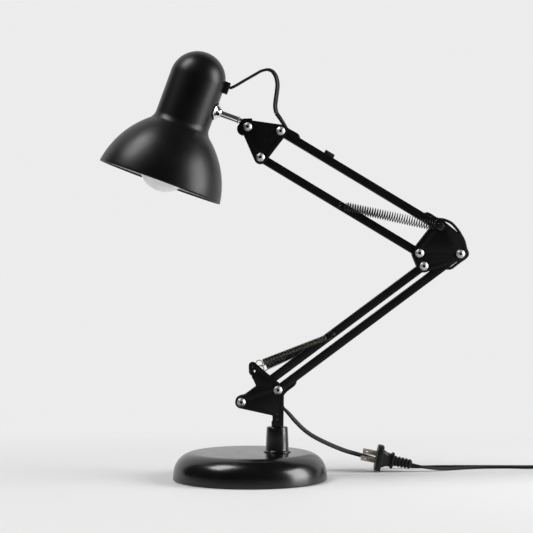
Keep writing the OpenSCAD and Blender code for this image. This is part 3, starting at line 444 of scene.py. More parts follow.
def turned(name, profile, steps=64, place=None, edge=38):
    """A piece turned on a lathe: its half section, as [radius, height], spun round the Z axis."""
    piece = drawn_line(name, profile)
    start_edit(piece)
    bpy.ops.mesh.spin(steps=steps, angle=2 * pi, axis=(0, 0, 1))
    bpy.ops.mesh.select_all(action="SELECT")
    bpy.ops.mesh.remove_doubles(threshold=1e-6)
    bpy.ops.mesh.normals_make_consistent(inside=False)
    end_edit()
    settle(piece, place)
    return smooth(piece, edge)


def raised(low, *profile):
    """Points of a profile, raised by a height."""
    return [(radius, low + height) for radius, height in profile]


def arc(mid, radius, first, last, steps):
    """Points of an arc, as [x, z]. Angles are in degrees."""
    return [Vector(mid) + polar(radius, first + (last - first) * i / steps) for i in range(steps + 1)]


def block(name, low, high, edge=0.0):
    """A rectangular block between two corners, in millimetres, with bevelled edges."""
    low, high = Vector(low), Vector(high)
    bpy.ops.mesh.primitive_cube_add(size=1, location=(low + high) / 2 * MM, scale=(high - low) * MM)
    piece = settle(name_piece(name))
    if edge:
        start_edit(piece)
        bpy.ops.mesh.bevel(offset=edge * MM, segments=2, affect="EDGES")
        end_edit()
    return piece


def prism(name, radius, near, far, sides):
    """A bar with flat sides along Z between two heights, in millimetres."""
    bpy.ops.mesh.primitive_cylinder_add(vertices=sides, radius=radius * MM, depth=(far - near) * MM,
                                        location=(0, 0, (near + far) / 2 * MM))
    return settle(name_piece(name))


def across_flats(width):
    """The radius of a hexagon of this width."""
    return width / cos(radians(30)) / 2


def solid_of(node, name, edge, segments):
    """A copy of a CAD solid with its loose triangles merged, its flats made whole and its edges rounded."""
    piece = new_object(name, frame["nodes"][node].data.copy())
    start_edit(piece)
    bpy.ops.mesh.remove_doubles(threshold=2e-6)
    bpy.ops.mesh.dissolve_limited(angle_limit=radians(0.6))
    bpy.ops.mesh.normals_make_consistent(inside=False)
    end_edit()
    piece.data.materials.clear()
    return smooth(round_edges(piece, edge, segments))


def way_of(points, i):
    return (points[min(i + 1, len(points) - 1)] - points[max(i - 1, 0)]).normalized()


def swept(name, points, sides, section):
    """A tube of any section along a path. sides gives the section's first axis at each point."""
    mesh = bpy.data.meshes.new(name)
    verts, faces, n = [], [], len(section)
    for i, point in enumerate(points):
        way = way_of(points, i)
        u = (sides[i] - way * sides[i].dot(way)).normalized()
        v = way.cross(u)
        verts += [point + u * q[0] + v * q[1] for q in section]
    for i in range(len(points) - 1):
        for j in range(n):
            k = (j + 1) % n
            faces.append((i * n + j, i * n + k, (i + 1) * n + k, (i + 1) * n + j))
    faces.append(tuple(reversed(range(n))))
    faces.append(tuple(range((len(points) - 1) * n, len(points) * n)))
    mesh.from_pydata(verts, [], faces)
    piece = new_object(name, mesh)
    start_edit(piece)
    bpy.ops.mesh.normals_make_consistent(inside=False)
    end_edit()
    return smooth(piece, 50)


def wire_form(name, points, diameter, first_side, sides=8):
    """A round wire bent along a path, with a section that turns as little as it can."""
    side, carried = Vector(first_side), []
    for i in range(len(points)):
        way = way_of(points, i)
        side = (side - way * side.dot(way)).normalized()
        carried.append(side)
    ring = [polar(diameter / 2, 360 * j / sides) for j in range(sides)]
    return swept(name, points, carried, ring)


def through(points, step):
    """Points every step along a smooth curve through the given ones, which may carry a fourth number."""
    rows = [Vector(p) for p in points]
    fine = []
    for i in range(len(rows) - 1):
        p0, p1, p2 = rows[max(i - 1, 0)], rows[i], rows[i + 1]
        p3 = rows[min(i + 2, len(rows) - 1)]
        gap = (p2.to_3d() - p1.to_3d()).length if len(p1) > 3 else (p2 - p1).length
        count = max(1, round(gap / step))
        for k in range(count):
            t = k / count
            fine.append(0.5 * ((2 * p1) + (p2 - p0) * t + (2 * p0 - 5 * p1 + 4 * p2 - p3) * t * t
                               + (3 * p1 - p0 - 3 * p2 + p3) * t ** 3))
    fine.append(rows[-1])
    return fine


def coat(piece, slot, material, *nodes):
    """Gives a finished piece its material, its slot and the CAD nodes that it stands for."""
    if material is not None:
        piece.data.materials.clear()
        piece.data.materials.append(finish(material))
    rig.slot(piece, slot)
    if nodes:
        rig.replaces(piece, *nodes)
    return piece


def ride(piece, body, slot, material, *nodes):
    """Fixes a finished piece to a body."""
    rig.ride(piece, body)
    return coat(piece, slot, material, *nodes)


def hang(piece, bodies, start, end, slot, material, *nodes):
    """Hangs a finished piece between two bodies, so that it bends from start to end."""
    coat(piece, slot, material, *nodes)
    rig.blend(piece, *bodies, start=tuple(start), end=tuple(end))


def ride_solid(node, name, body, slot, material, edge, segments=2):
    """Fixes a smoothed copy of a CAD solid to a body in its place."""
    return ride(solid_of(node, name, edge, segments), body, slot, material, node)


def dress(material, *nodes):
    """A better finish for CAD nodes whose shape is right."""
    for node in nodes:
        for place in frame["nodes"][node].material_slots:
            place.material = finish(material)


# ---- Finishes


def feed(tree, node, **inputs):
    """Sets or links a node's inputs. Their names are given with underscores."""
    for key, value in inputs.items():
        socket = node.inputs[key.replace("_", " ")]
        if isinstance(value, bpy.types.NodeSocket):
            tree.links.new(value, socket)
        else:
            socket.default_value = value


def shader(tree, **inputs):
    feed(tree, tree.nodes["Principled BSDF"], **inputs)


def output_of(tree, kind, output, *links, operation=None, **inputs):
    """One output of a new node with these inputs. links go to its first inputs in turn."""
    node = tree.nodes.new("ShaderNode" + kind)
    if operation:
        node.operation = operation
    for link, socket in zip(links, node.inputs):
        tree.links.new(link, socket)
    feed(tree, node, **inputs)
    return node.outputs[output]


def object_space(tree, scale=(1, 1, 1)):
    place = output_of(tree, "TexCoord", "Object")
    return output_of(tree, "Mapping", "Vector", Vector=place, Scale=scale)


def noise(tree, vector, scale, detail, rough):
    return output_of(tree, "TexNoise", "Fac", Vector=vector, Scale=scale, Detail=detail, Roughness=rough)


def spread(tree, value, low, high, from_low=0.3, from_high=0.7):
    return output_of(tree, "MapRange", "Result", Value=value, From_Min=from_low, From_Max=from_high,
                     To_Min=low, To_Max=high)


def two_tones(tree, value, dark, light):
    """Links the shader's colour to a value, from a dark tone to a light one."""
    ramp = tree.nodes.new("ShaderNodeValToRGB")
    for element, place, tone in zip(ramp.color_ramp.elements, (0.3, 0.7), (dark, light)):
        element.position = place
        element.color = (*tone, 1)
    feed(tree, ramp, Fac=value)
    shader(tree, Base_Color=ramp.outputs["Color"])


def bump(tree, value, depth, strength):
    return output_of(tree, "Bump", "Normal", Height=value, Distance=depth * MM, Strength=strength)


def tinted(colour, factor):
    return tuple(min(1.0, c * factor) for c in colour)


def coated(tree, colour, low, high, peel, peel_depth, shine=0.3, vary=1.25, coat_weight=0.0):
    """Paint or plastic: a slightly uneven colour, a soft change of gloss and a fine orange peel."""
    place = object_space(tree)
    two_tones(tree, noise(tree, place, 28, 4, 0.6), tinted(colour, 1 / vary), tinted(colour, vary))
    shader(tree, Roughness=spread(tree, noise(tree, place, 55, 5, 0.65), low, high),
           Normal=bump(tree, noise(tree, place, peel, 2, 0.4), peel_depth, 0.5),
           Specular_IOR_Level=shine, Coat_Weight=coat_weight, Coat_Roughness=0.12)


def metal(tree, colour, low, high, grain, depth, vary=1.12, stretch=(1, 1, 1)):
    """Bare or plated metal, with fine drawn lines where stretch is uneven."""
    line = noise(tree, object_space(tree, stretch), grain, 4, 0.6)
    cloud = noise(tree, object_space(tree), 120, 3, 0.5)
    two_tones(tree, cloud, tinted(colour, 1 / vary), tinted(colour, vary))
    shader(tree, Roughness=spread(tree, line, low, high), Normal=bump(tree, line, depth, 0.4), Metallic=1.0)


def frosted(tree, dark, light):
    """Glass etched inside: white, a little see-through at its edges and glossy outside."""
    place = object_space(tree)
    two_tones(tree, noise(tree, place, 40, 3, 0.5), dark, light)
    shader(tree, Roughness=spread(tree, noise(tree, place, 90, 4, 0.6), 0.28, 0.36),
           Normal=bump(tree, noise(tree, place, 2200, 1, 0.3), 0.01, 0.3), Coat_Weight=0.4,
           Coat_Roughness=0.08, Subsurface_Weight=0.2, Subsurface_Radius=(0.01, 0.01, 0.01))


def paper(tree, colour):
    """Paper that takes the object's shadow near it, and further back shows its plain colour, lit or not."""
    two_tones(tree, noise(tree, object_space(tree), 3, 2, 0.4), tinted(colour, 0.995), tinted(colour, 1.005))
    shader(tree, Roughness=0.6, Specular_IOR_Level=0.2)
    path = tree.nodes.new("ShaderNodeLightPath")
    seen = path.outputs["Is Camera Ray"]
    for kind in ("Is Glossy Ray", "Is Transmission Ray"):
        seen = output_of(tree, "Math", "Value", seen, path.outputs[kind], operation="MAXIMUM")
    reach = output_of(tree, "VectorMath", "Value", object_space(tree, (0.35, 1, 1)), operation="LENGTH")
    far = spread(tree, reach, 0, 1, 0.1, 0.5)
    share = output_of(tree, "Math", "Value", far, seen, operation="MULTIPLY")
    glow = output_of(tree, "Emission", "Emission", Color=(*colour, 1))
    lit = tree.nodes["Principled BSDF"].outputs["BSDF"]
    feed(tree, tree.nodes["Material Output"],
         Surface=output_of(tree, "MixShader", "Shader", share, lit, glow))


def finish_table():
    """Each finish with its maker, its colours and its numbers: roughness from and to, grain and its depth."""
    colours = bpy.context.scene.lamp_colours
    return {
        "black_enamel": (coated, colours.enamel, 0.34, 0.4, 650, 0.02, 0.28),
        "gloss_enamel": (coated, colours.enamel, 0.2, 0.26, 650, 0.015, 0.5),
        "plate_enamel": (coated, tinted(colours.enamel, 1.1), 0.38, 0.48, 900, 0.03, 0.2),
        "white_enamel": (coated, colours.shade_inside, 0.35, 0.45, 650, 0.02, 0.5, 1.02, 0.1),
        "moulded_black": (coated, (0.006, 0.006, 0.0064), 0.4, 0.52, 1500, 0.03),
        "cord_black": (coated, colours.cord, 0.42, 0.55, 1200, 0.04, 0.2),
        "soft_rubber": (coated, (0.009, 0.009, 0.009), 0.7, 0.85, 1800, 0.05),
        "porcelain": (coated, (0.78, 0.76, 0.7), 0.15, 0.25, 300, 0.02, 0.5, 1.02, 0.3),
        "polished_chrome": (metal, (0.78, 0.79, 0.8), 0.06, 0.14, 260, 0.002, 1.02),
        "screw_steel": (metal, (0.5, 0.5, 0.51), 0.44, 0.54, 1200, 0.006, 1.05),
        # dark steel for the inside of the screws' hex sockets: painted shade in the recess
        "socket_painted_shade": (metal, (0.06, 0.06, 0.06), 0.6, 0.75, 900, 0.01),
        "zinc_plate": (metal, (0.48, 0.48, 0.47), 0.3, 0.46, 700, 0.01),
        "blued_pin": (metal, (0.06, 0.06, 0.062), 0.28, 0.42, 900, 0.008),
        "lower_spring_wire": (metal, colours.wire_lower, 0.24, 0.32, 1500, 0.01),
        "upper_spring_wire": (metal, colours.wire_upper, 0.26, 0.4, 1500, 0.01),
        "plug_brass": (metal, (0.74, 0.7, 0.6), 0.34, 0.46, 50, 0.008, 1.12, (30, 30, 1)),
        "cast_iron": (metal, (0.13, 0.125, 0.12), 0.6, 0.8, 450, 0.2, 1.3),
        "frosted_glass": (frosted, (0.9, 0.9, 0.91), (0.94, 0.94, 0.95)),
        "paper_sweep": (paper, bpy.context.scene.lamp_stage.floor)}


def finish(name):
    """The finish of this name, made when it is first asked for. The frame has its own names."""
    made = bpy.data.materials.get("lamp_" + name)
    if made is None:
        made = bpy.data.materials.new("lamp_" + name)
        made.use_nodes = True
        maker, *numbers = finish_table()[name]
        maker(made.node_tree, *numbers)
    return made


# ---- The stage

PHOTO_PIXELS, FOCAL_PIXELS = 533, 1614    # width of the photo, and distance of its picture plane
SENSOR_MM = 36
CAMERA_PLACE = (0.01886, -1.856, 0.2446)
LEFT_LAMP_PLACE, RIGHT_LAMP_PLACE, LAMPS_AIM = (-1.1, -0.3, 2.1), (1.8, -0.3, 0.68), Vector((0, 0, 0.3))
SWEEP_MIDDLE_Y, SWEEP_WIDTH, SWEEP_DEPTH, SWEEP_HEIGHT, SWEEP_BEND = 1.05, 9, 3.9, 6, 1.6


def area_lamp(name, place, size, power):
    """A soft lamp that shines at the middle of the object."""
    bpy.ops.object.light_add(type="AREA", location=place)
    lamp = bpy.context.object
    lamp.name = name
    lamp.data.shape = "RECTANGLE"
    lamp.data.size, lamp.data.size_y = size
    lamp.data.energy = power
    way = LAMPS_AIM - Vector(place)
    lamp.rotation_euler = way.to_track_quat("-Z", "Y").to_euler()


class LAMP_OT_stage(bpy.types.Operator):
    """Adds the paper sweep, the studio lamps and the camera at the photograph's angle."""

    bl_idname = "lamp.stage"
    bl_label = "Stage and camera"

    def sweep(self):
        bpy.ops.mesh.primitive_plane_add(size=1, location=(0, SWEEP_MIDDLE_Y, 0))
        sweep = name_piece("paper_sweep")
        sweep.scale = (SWEEP_WIDTH, SWEEP_DEPTH, 1)
        settle(sweep)
        verts = sweep.data.vertices
        choose(sweep, "EDGE", lambda edge: all(verts[i].co.y > 0 for i in edge.vertices))
        open_mesh(sweep)
        extrude((0, 0, SWEEP_HEIGHT))
        end_edit()
        bevel_edges(sweep, lambda *ends: all(abs(p.z) < 1e-6 and p.y > 0 for p in ends), SWEEP_BEND, 24)
        smooth(sweep, 60)
        sweep.data.materials.append(finish("paper_sweep"))
        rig.stage(sweep)

    def execute(self, context):
        settings = context.scene.lamp_stage
        self.sweep()
        area_lamp("left_lamp", LEFT_LAMP_PLACE, (0.8, 1.1), settings.key_power)
        area_lamp("right_lamp", RIGHT_LAMP_PLACE, (1.0, 1.4), settings.fill_power)

        world = bpy.data.worlds.new("studio")
        world.use_nodes = True
        context.scene.world = world
        sky = world.node_tree.nodes["Background"]
        sky.inputs["Color"].default_value = (1, 1, 1, 1)
        sky.inputs["Strength"].default_value = settings.sky

        bpy.ops.object.camera_add(location=CAMERA_PLACE, rotation=(pi / 2, 0, 0))
        camera = context.object
        camera.name = "photo_camera"
        camera.data.sensor_width = SENSOR_MM
        camera.data.lens = SENSOR_MM * FOCAL_PIXELS / PHOTO_PIXELS
        camera.data.clip_end = 50
        context.scene.camera = camera
        context.scene.view_settings.view_transform = "Standard"
        return {"FINISHED"}


# ---- Cords

LOWER_BAR, UPPER_BAR = (PIVOT_P2, LOWER_ANGLE), (PIVOT_D, UPPER_ANGLE)
NECK_R, NECK_TOP = 32.3, 126.2
GLAND_Z, GLAND_FACE = NECK_TOP + 1.9, NECK_R + 5.3
SLEEVE = 1.6
FLAT_Z, EDGE_Z = 1.6, 2.8    # height of the cord's middle, lying flat and on its edge


def under_bar(bar, x):
    """A point of a cable bar's lower face, x from its pivot."""
    pivot, angle = bar
    return pivot + polar(x, angle) + Vector((sin(radians(angle)), -cos(radians(angle)))) * BAR_HALF


def cord_exit():
    """Where the cord leaves the gland, in the drawing plane."""
    place = IN_SHADE @ space((GLAND_FACE, GLAND_Z + 1.9))
    return Vector((place.x, place.z)) / MM


HEAD_WAY = Vector((cos(radians(HEAD_TILT)), -sin(radians(HEAD_TILT))))
HEAD_ROUTE = [
    cord_exit(), cord_exit() + HEAD_WAY * SLEEVE,
    (-17, 452.3), (-6.3, 458.6), (4, 464.5), (12.1, 469.2), (19.4, 471), (25.3, 469.2),
    (29.7, 463), (31.5, 454.2), (30.8, 445.4), (29.6, 436.6), (28.9, 428.2), (30.3, 420.9),
    (34.4, 415), (39.4, 407.3), (42.6, 402.8), (48.4, 399.4), (54.5, 395.8),
    under_bar(UPPER_BAR, UPPER_LEN - SLOT_AT)]
HEAD_ROLLS = [0] * 6 + [15, 35, 52, 58, 58, 58, 58, 52, 45, 35, 12] + [0] * 3
ELBOW_ROUTE = [
    under_bar(UPPER_BAR, SLOT_AT), (203.6, 305.6), (207.8, 303.8), (214.6, 299.6), (223.4, 298.2),
    (232.2, 293.9), (240.1, 284.9), (245.8, 274.4), (248, 265.8), (250.2, 259.2), (247.8, 255),
    (242.2, 251), (236.4, 246.6), (231.2, 242.8), under_bar(LOWER_BAR, LOWER_LEN - SLOT_AT)]
BRACKET_ROUTE = [
    under_bar(LOWER_BAR, SLOT_AT), (50.6, 109), (46.3, 105.6), (41.2, 101.6), (37.4, 96.8), (36, 91.2),
    (36.4, 86.4), (38.6, 81.6)]
NO_ROLL = [0] * 20

# Each loop with its points, their rolls, the two bodies that it hangs between and its CAD node
LOOPS = (("head_cord_at_gland", HEAD_ROUTE[:6], HEAD_ROLLS[:6], ("shade", "head_stem"), "head_cord"),
         ("head_cord_over_knuckle", HEAD_ROUTE[5:14], HEAD_ROLLS[5:14], ("head_stem", "head_plates")),
         ("head_cord_to_bar", HEAD_ROUTE[13:], HEAD_ROLLS[13:], ("head_plates", "upper_cable_arm")),
         ("elbow_cord_above", ELBOW_ROUTE[:7], NO_ROLL, ("upper_cable_arm", "elbow"), "elbow_cord"),
         ("elbow_cord_below", ELBOW_ROUTE[6:], NO_ROLL, ("elbow", "lower_cable_arm")),
         ("bracket_cord_loop", BRACKET_ROUTE, NO_ROLL, ("lower_cable_arm", "lower_bracket"), "bracket_cord"))
# Where the cord above the knuckle bends as the head tilts: slantwise, so that it keeps its thickness
FOLDS = {"head_cord_over_knuckle": (space((31.5, 456)), space((15.7, 433.3)))}


def lying(*points):
    """Points of the cord where it lies flat on the floor."""
    return [(x, y, FLAT_Z, 0) for x, y in points]


# The supply cord from the bracket to the coil. Points are [x, y, z] and the roll in degrees.
SUPPLY_POINTS = [
    (38.6, 0, 81.6, 0), (44.9, 0.6, 75, 40), (51.5, 2.8, 67.2, 60), (61.3, 9, 56.9, 66),
    (71.1, 19, 48.7, 68), (83.1, 32, 41, 68), (97.2, 46, 33.2, 68), (111.6, 60, 26.2, 68),
    (120, 68.6, 22.8, 66), (128.2, 76, 19.8, 64), (138, 82.4, 16.4, 60), (151.9, 88.2, 12, 50),
    (164, 92.4, 8.6, 36), (176, 96, 5.6, 20), (188, 99.2, 3.2, 6)] + lying(
        (200, 101.6), (213, 103.6), (226, 104.8), (242, 105.4), (260, 105.6), (280, 105.4),
        (300, 105.2), (320, 104.8), (340, 104.2)) + [
    (356, 103.4, 1.9, 10), (370, 102.8, 2.2, 35), (384, 102.2, 2.6, 65), (398, 101.6, EDGE_Z, 88),
    (410, 101.4, EDGE_Z, 90)]
SUPPLY_BEND_END = (0.0972, 0.046, 0.0332)    # beyond it the cord stands still as the bracket swivels
COIL_LAYER_TURNS, COIL_PITCH, COIL_STEP = 3, 3.7, 6.1
COIL_OUTER = 33 + COIL_PITCH * COIL_LAYER_TURNS / 2
COIL_X, COIL_Y = 410, 101.4 - COIL_OUTER
COIL_TURNS = 2 * COIL_LAYER_TURNS - 0.25
COIL_POINTS_PER_TURN = 24


def coil_point(turns):
    """In along the lower layer, up in the half turn where it turns back, out along the upper one."""
    back = COIL_LAYER_TURNS
    radius = COIL_OUTER - COIL_PITCH * (back - abs(turns - back))
    k = min(1.0, max(0.0, turns - back + 0.5))
    height = EDGE_Z + COIL_STEP * k * k * (3 - 2 * k)
    turn = radians(360 * turns)
    return (COIL_X + radius * sin(turn), COIL_Y + radius * cos(turn), height, 90)


def plug_strand(start):
    """From the end of the coil to the plug's strain relief."""
    x, y = start[:2]
    end = PLUG_FACE + PLUG_WAY * PLUG_LEN
    return [(x - 0.8, y + 8, 8.6, 88), (x - 4.2, y + 17, 7.4, 80), (x - 10.4, y + 24.6, 5.8, 65),
            (x - 19, y + 30, 4, 40), (x - 28.6, y + 32.6, 2.4, 15)] + lying(
                (x - 38, y + 33), (318, 98.4), (302, 98.9), (286, 98), (270, 94.6), (254, 88.6),
                (238, 81.4)) + [(224, 75.2, 2.6, 0), (212, 70.4, 4.4, 0), (202, 67.6, 6.2, 0),
                                (end.x, end.y, end.z, 0)]


def cord_section():
    """Two round cores side by side with a shallow groove between them."""
    sizes = bpy.context.scene.lamp_sizes
    radius = sizes.cord_thickness / 2
    reach = sizes.cord_width / 2 - radius
    lobe = [polar(radius, angle) for angle in range(-126, 127, 28)]
    right = [Vector((reach + p.x, p.y)) for p in lobe]
    left = [Vector((-p.x, -p.y)) for p in right]
    return right + left


def rolled_cord(name, rows, step, level_at):
    """A flat cord along rows of a place and a roll. level_at gives the unrolled width's way at a point."""
    fine = through(rows, step)
    points = [p.to_3d() for p in fine]
    sides = []
    for i, row in enumerate(fine):
        way = way_of(points, i)
        level = level_at(way)
        sides.append(level * cos(row[3]) + way.cross(level) * sin(row[3]))
    return swept(name, points, sides, cord_section()), points


def declare_cord(piece, points, far_end, lay="loose", with_pieces=()):
    length = sum((q - p).length for p, q in zip(points, points[1:]))
    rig.cord(piece, exit=tuple(points[0]), length=round(length, 4),
            diameter=bpy.context.scene.lamp_sizes.cord_width, far_end=far_end, stiffness="medium",
            lay=lay, path=[tuple(p) for p in points], with_pieces=list(with_pieces))


class LAMP_OT_cords(bpy.types.Operator):
    """Adds the cord's loops from the shade to the bracket, the leads in the bars and the long supply cord."""

    bl_idname = "lamp.cords"
    bl_label = "Cords"

    def loop(self, name, route, rolls, bodies, *nodes):
        """A loop in the middle plane, its width across that plane but for its roll."""
        rows = [(*space(p), radians(roll)) for p, roll in zip(route, rolls)]
        piece, fine = rolled_cord(name, rows, 1.6 * MM, lambda way: Vector((0, 1, 0)))
        start, end = FOLDS.get(name, (fine[0], fine[-1]))
        hang(piece, bodies, start, end, "cord_black", "cord_black", *nodes)
        declare_cord(piece, fine, "object")

    def lead(self, name, bar, length, body):
        """The cord inside a cable bar, from slot to slot."""
        near = [(SLOT_AT, -BAR_HALF), (SLOT_AT + 1, 1.2 - BAR_HALF), (SLOT_AT + 6, -0.6), (SLOT_AT + 18, 0)]
        rows = near + [(length / 2, 0)] + [(length - x, z) for x, z in reversed(near)]
        fine = [in_bar(*bar) @ p for p in through([space(p) for p in rows], 2 * MM)]
        piece = swept(name, fine, [Vector((0, 1, 0))] * len(fine), cord_section())
        ride(piece, body, "cord_black", "cord_black", name.replace("_in_bar", ""))
        declare_cord(piece, fine, "object", lay="taut")

    def execute(self, context):
        for row in LOOPS:
            self.loop(*row)
        self.lead("lower_lead_in_bar", LOWER_BAR, LOWER_LEN, "lower_cable_arm")
        self.lead("upper_lead_in_bar", UPPER_BAR, UPPER_LEN, "upper_cable_arm")

        coil_count = round(COIL_TURNS * COIL_POINTS_PER_TURN)
        coil = [coil_point(i / COIL_POINTS_PER_TURN) for i in range(1, coil_count + 1)]
        rows = [Vector((x * MM, y * MM, z * MM, radians(roll)))
                for x, y, z, roll in SUPPLY_POINTS + coil + plug_strand(coil[-1])]
        cord, points = rolled_cord("supply_cord_to_plug", rows, 3 * MM,
                                   lambda way: way.cross(Vector((0, 0, 1))).normalized())
        hang(cord, ("lower_bracket", "base"), points[0], SUPPLY_BEND_END, "cord_black", "cord_black",
             "supply_cord", "cord_coil", "plug_cord")
        declare_cord(cord, points, "plug", lay="coiled", with_pieces=[self.plug(), self.blades()])
        return {"FINISHED"}

    def plug(self):
        """The moulded plug: a rounded flange, a waisted grip with a ring and a ribbed strain relief."""
        flange = block("plug_flange", (-15.5, -12.5, 0), (15.5, 12.5, 7))
        bevel_edges(flange, is_upright, 8 * MM, 8)
        round_edges(flange, 1.1 * MM, 3)
        grip = block("plug_grip", (-10.5, -8.6, 6), (10.5, 8.6, 8))
        for height, ratio in ((4.0, 0.8), (5.0, 0.92), (1.0, 1.22), (2.4, 1.02), (1.0, 0.74)):
            open_end(grip, 2, 1)
            extrude((0, 0, height * MM))
            bpy.ops.transform.resize(value=(ratio, ratio, 1))
            end_edit()
        bevel_edges(grip, is_upright, 3.6 * MM, 5)
        round_edges(grip, 0.5 * MM, 2, 30)
        profile = [(0.0, 20.0), (4.9, 20.0)]
        for rib in range(5):
            radius, root = 6.3 - 0.12 * rib, 4.9 - 0.1 * rib
            profile += raised(21 + rib * RIB_PITCH, (root, 0.6), (radius - 0.5, 0.8), (radius, 1.3),
                              (radius, 3.1), (radius - 0.5, 3.6), (root, 3.8))
        profile += [(4.2, PLUG_LEN), (0.0, PLUG_LEN)]
        relief = turned("plug_relief", profile, 32)
        plug = smooth(settle(join("plug_moulding", [flange, grip, relief]), IN_PLUG))
        return ride(plug, "base", "black_plastic", "moulded_black", "plug_body")

    def blades(self):
        made = []
        for width, side in ((7.9, -6.35), (6.35, 6.35)):
            blade = block("plug_blade", (-width / 2, -0.75, -17.5), (width / 2, 0.75, 1), 0.25)
            hole = smooth(prism("blade_hole", 1.55, -2, 2, 24))
            cut(blade, settle(hole, shift((0, -12.5)) @ FACING_BACK))
            made.append(settle(blade, shift((0, 0), side)))
        blades = join("plug_blade_pair", made)
        smooth(settle(blades, IN_PLUG @ turned_by(-49, "Z")))
        return ride(blades, "base", "brass", "plug_brass", "plug_blades")


# ---- Base and bracket


class LAMP_OT_base(bpy.types.Operator):
    """Adds the base cover, the post collar, the swivel spindle and the cheeks with their spring hooks."""

    bl_idname = "lamp.base"
    bl_label = "Base and bracket"

    def cover(self):
        slope = radians(SIDE_SLOPE)
        drift = ((BASE_H - SHOULDER_R + SHOULDER_R * sin(slope)) * tan(slope)
                 - SHOULDER_R * (1 - cos(slope)))
        mid = (BASE_D / 2 - SHOULDER_R - drift, BASE_H - SHOULDER_R)
        shoulder = arc(mid, SHOULDER_R, 90, SIDE_SLOPE, 28)
        touch = shoulder[-1]
        foot = touch.x + touch.y * tan(slope)
        profile = [(0.0, BASE_H), (30.0, BASE_H)] + shoulder + [
            (foot - 0.13, 1.6), (foot - 0.15, 1.1), (foot - 0.4, 0.7), (foot - 0.9, 0.6),
            (foot - 1.4, 0.9), (foot - 1.5, 6), (foot - 2.4, 14)]
        cover = turned("base_cover_pressing", profile, 128, edge=60)
        ride(cover, "base", "black_enamel", "gloss_enamel", "base_cover")

    def collar(self):
        low, lip = BASE_H, 1.5
        profile = raised(low, (9.0, -0.5), (COLLAR_FOOT_R - 0.2, -0.1), (COLLAR_FOOT_R, 0.3),
                         (COLLAR_FOOT_R, 0.8), (COLLAR_FOOT_R - 0.25, 1.1))
        profile += arc((COLLAR_LOW_R + 2.4, low + 3.6), 2.4, 262, 182, 8)
        profile += [(12.7, low + 16)]
        profile += arc((COLLAR_TOP_R - lip, COLLAR_TOP - lip), lip, 2, 90, 6)
        profile += raised(COLLAR_TOP, (6.0, 0), (5.2, -0.8), (5.1, -6))
        collar = turned("post_collar_turning", profile, 64, edge=50)
        settle(collar, ON_POST)
        ride(collar, "base", "black_enamel", "gloss_enamel", "post_collar")

    def spindle(self):
        low = COLLAR_TOP + 0.1
        top = PIVOT_P1.y - 11
        profile = raised(low, (0.0, -6), (4.9, -6), (4.9, 0), (6.25, 0), (6.65, 0.5), (6.65, 5.7),
                         (6.2, 6.4), (0.0, 6.4))
        shoulder = settle(turned("spindle_shoulder", profile, 48), ON_POST)
        stem = block("spindle_block", (POST_X - 5.5, -7, low + 6), (POST_X + 5.5, 7, top), 0.4)
        spindle = smooth(join("swivel_spindle_turning", [shoulder, stem]))
        ride(spindle, "lower_bracket", "black_plate", "plate_enamel", "swivel_spindle")

    def execute(self, context):
        self.cover()
        self.collar()
        dress("cast_iron", "base_weight")
        dress("zinc_plate", "base_plate", "collar_nut", "spindle_ring")
        dress("soft_rubber", "base_foot_pad", "bracket_washers")
        self.spindle()
        for side in ("front", "rear"):
            ride_solid(f"bracket_{side}_cheek", f"{side}_cheek_stamping", "lower_bracket", "black_plate",
                       "plate_enamel", context.scene.lamp_sizes.plate_edge)
        dress("blued_pin", "bracket_rivets")
        return {"FINISHED"}


# ---- Arms


def square_tube(name, first, last, corner):
    """A square tube along X with rounded corners and open mouths."""
    piece = block(name, (-first, -BAR_HALF, -BAR_HALF), (last, BAR_HALF, BAR_HALF))
    bevel_edges(piece, lambda a, b: abs(a.x - b.x) > 10 * MM, corner, 4)
    for side in (-1, 1):
        open_end(piece, 0, side)
        bpy.ops.mesh.inset(thickness=0.15 * MM, depth=0.12 * MM)
        bpy.ops.mesh.inset(thickness=0.75 * MM)
        extrude((-side * 14 * MM, 0, 0))
        end_edit()
    return piece


def cable_slot(piece, x):
    """Cuts a round-ended slot for the cable in a bar's lower face."""
    cutter = block("slot_cutter", (x - 5.5, -3.2, -BAR_HALF - 2), (x + 5.5, 3.2, -BAR_HALF + 2.6))
    bevel_edges(cutter, is_upright, 3.19 * MM, 8)
    return cut(piece, cutter)


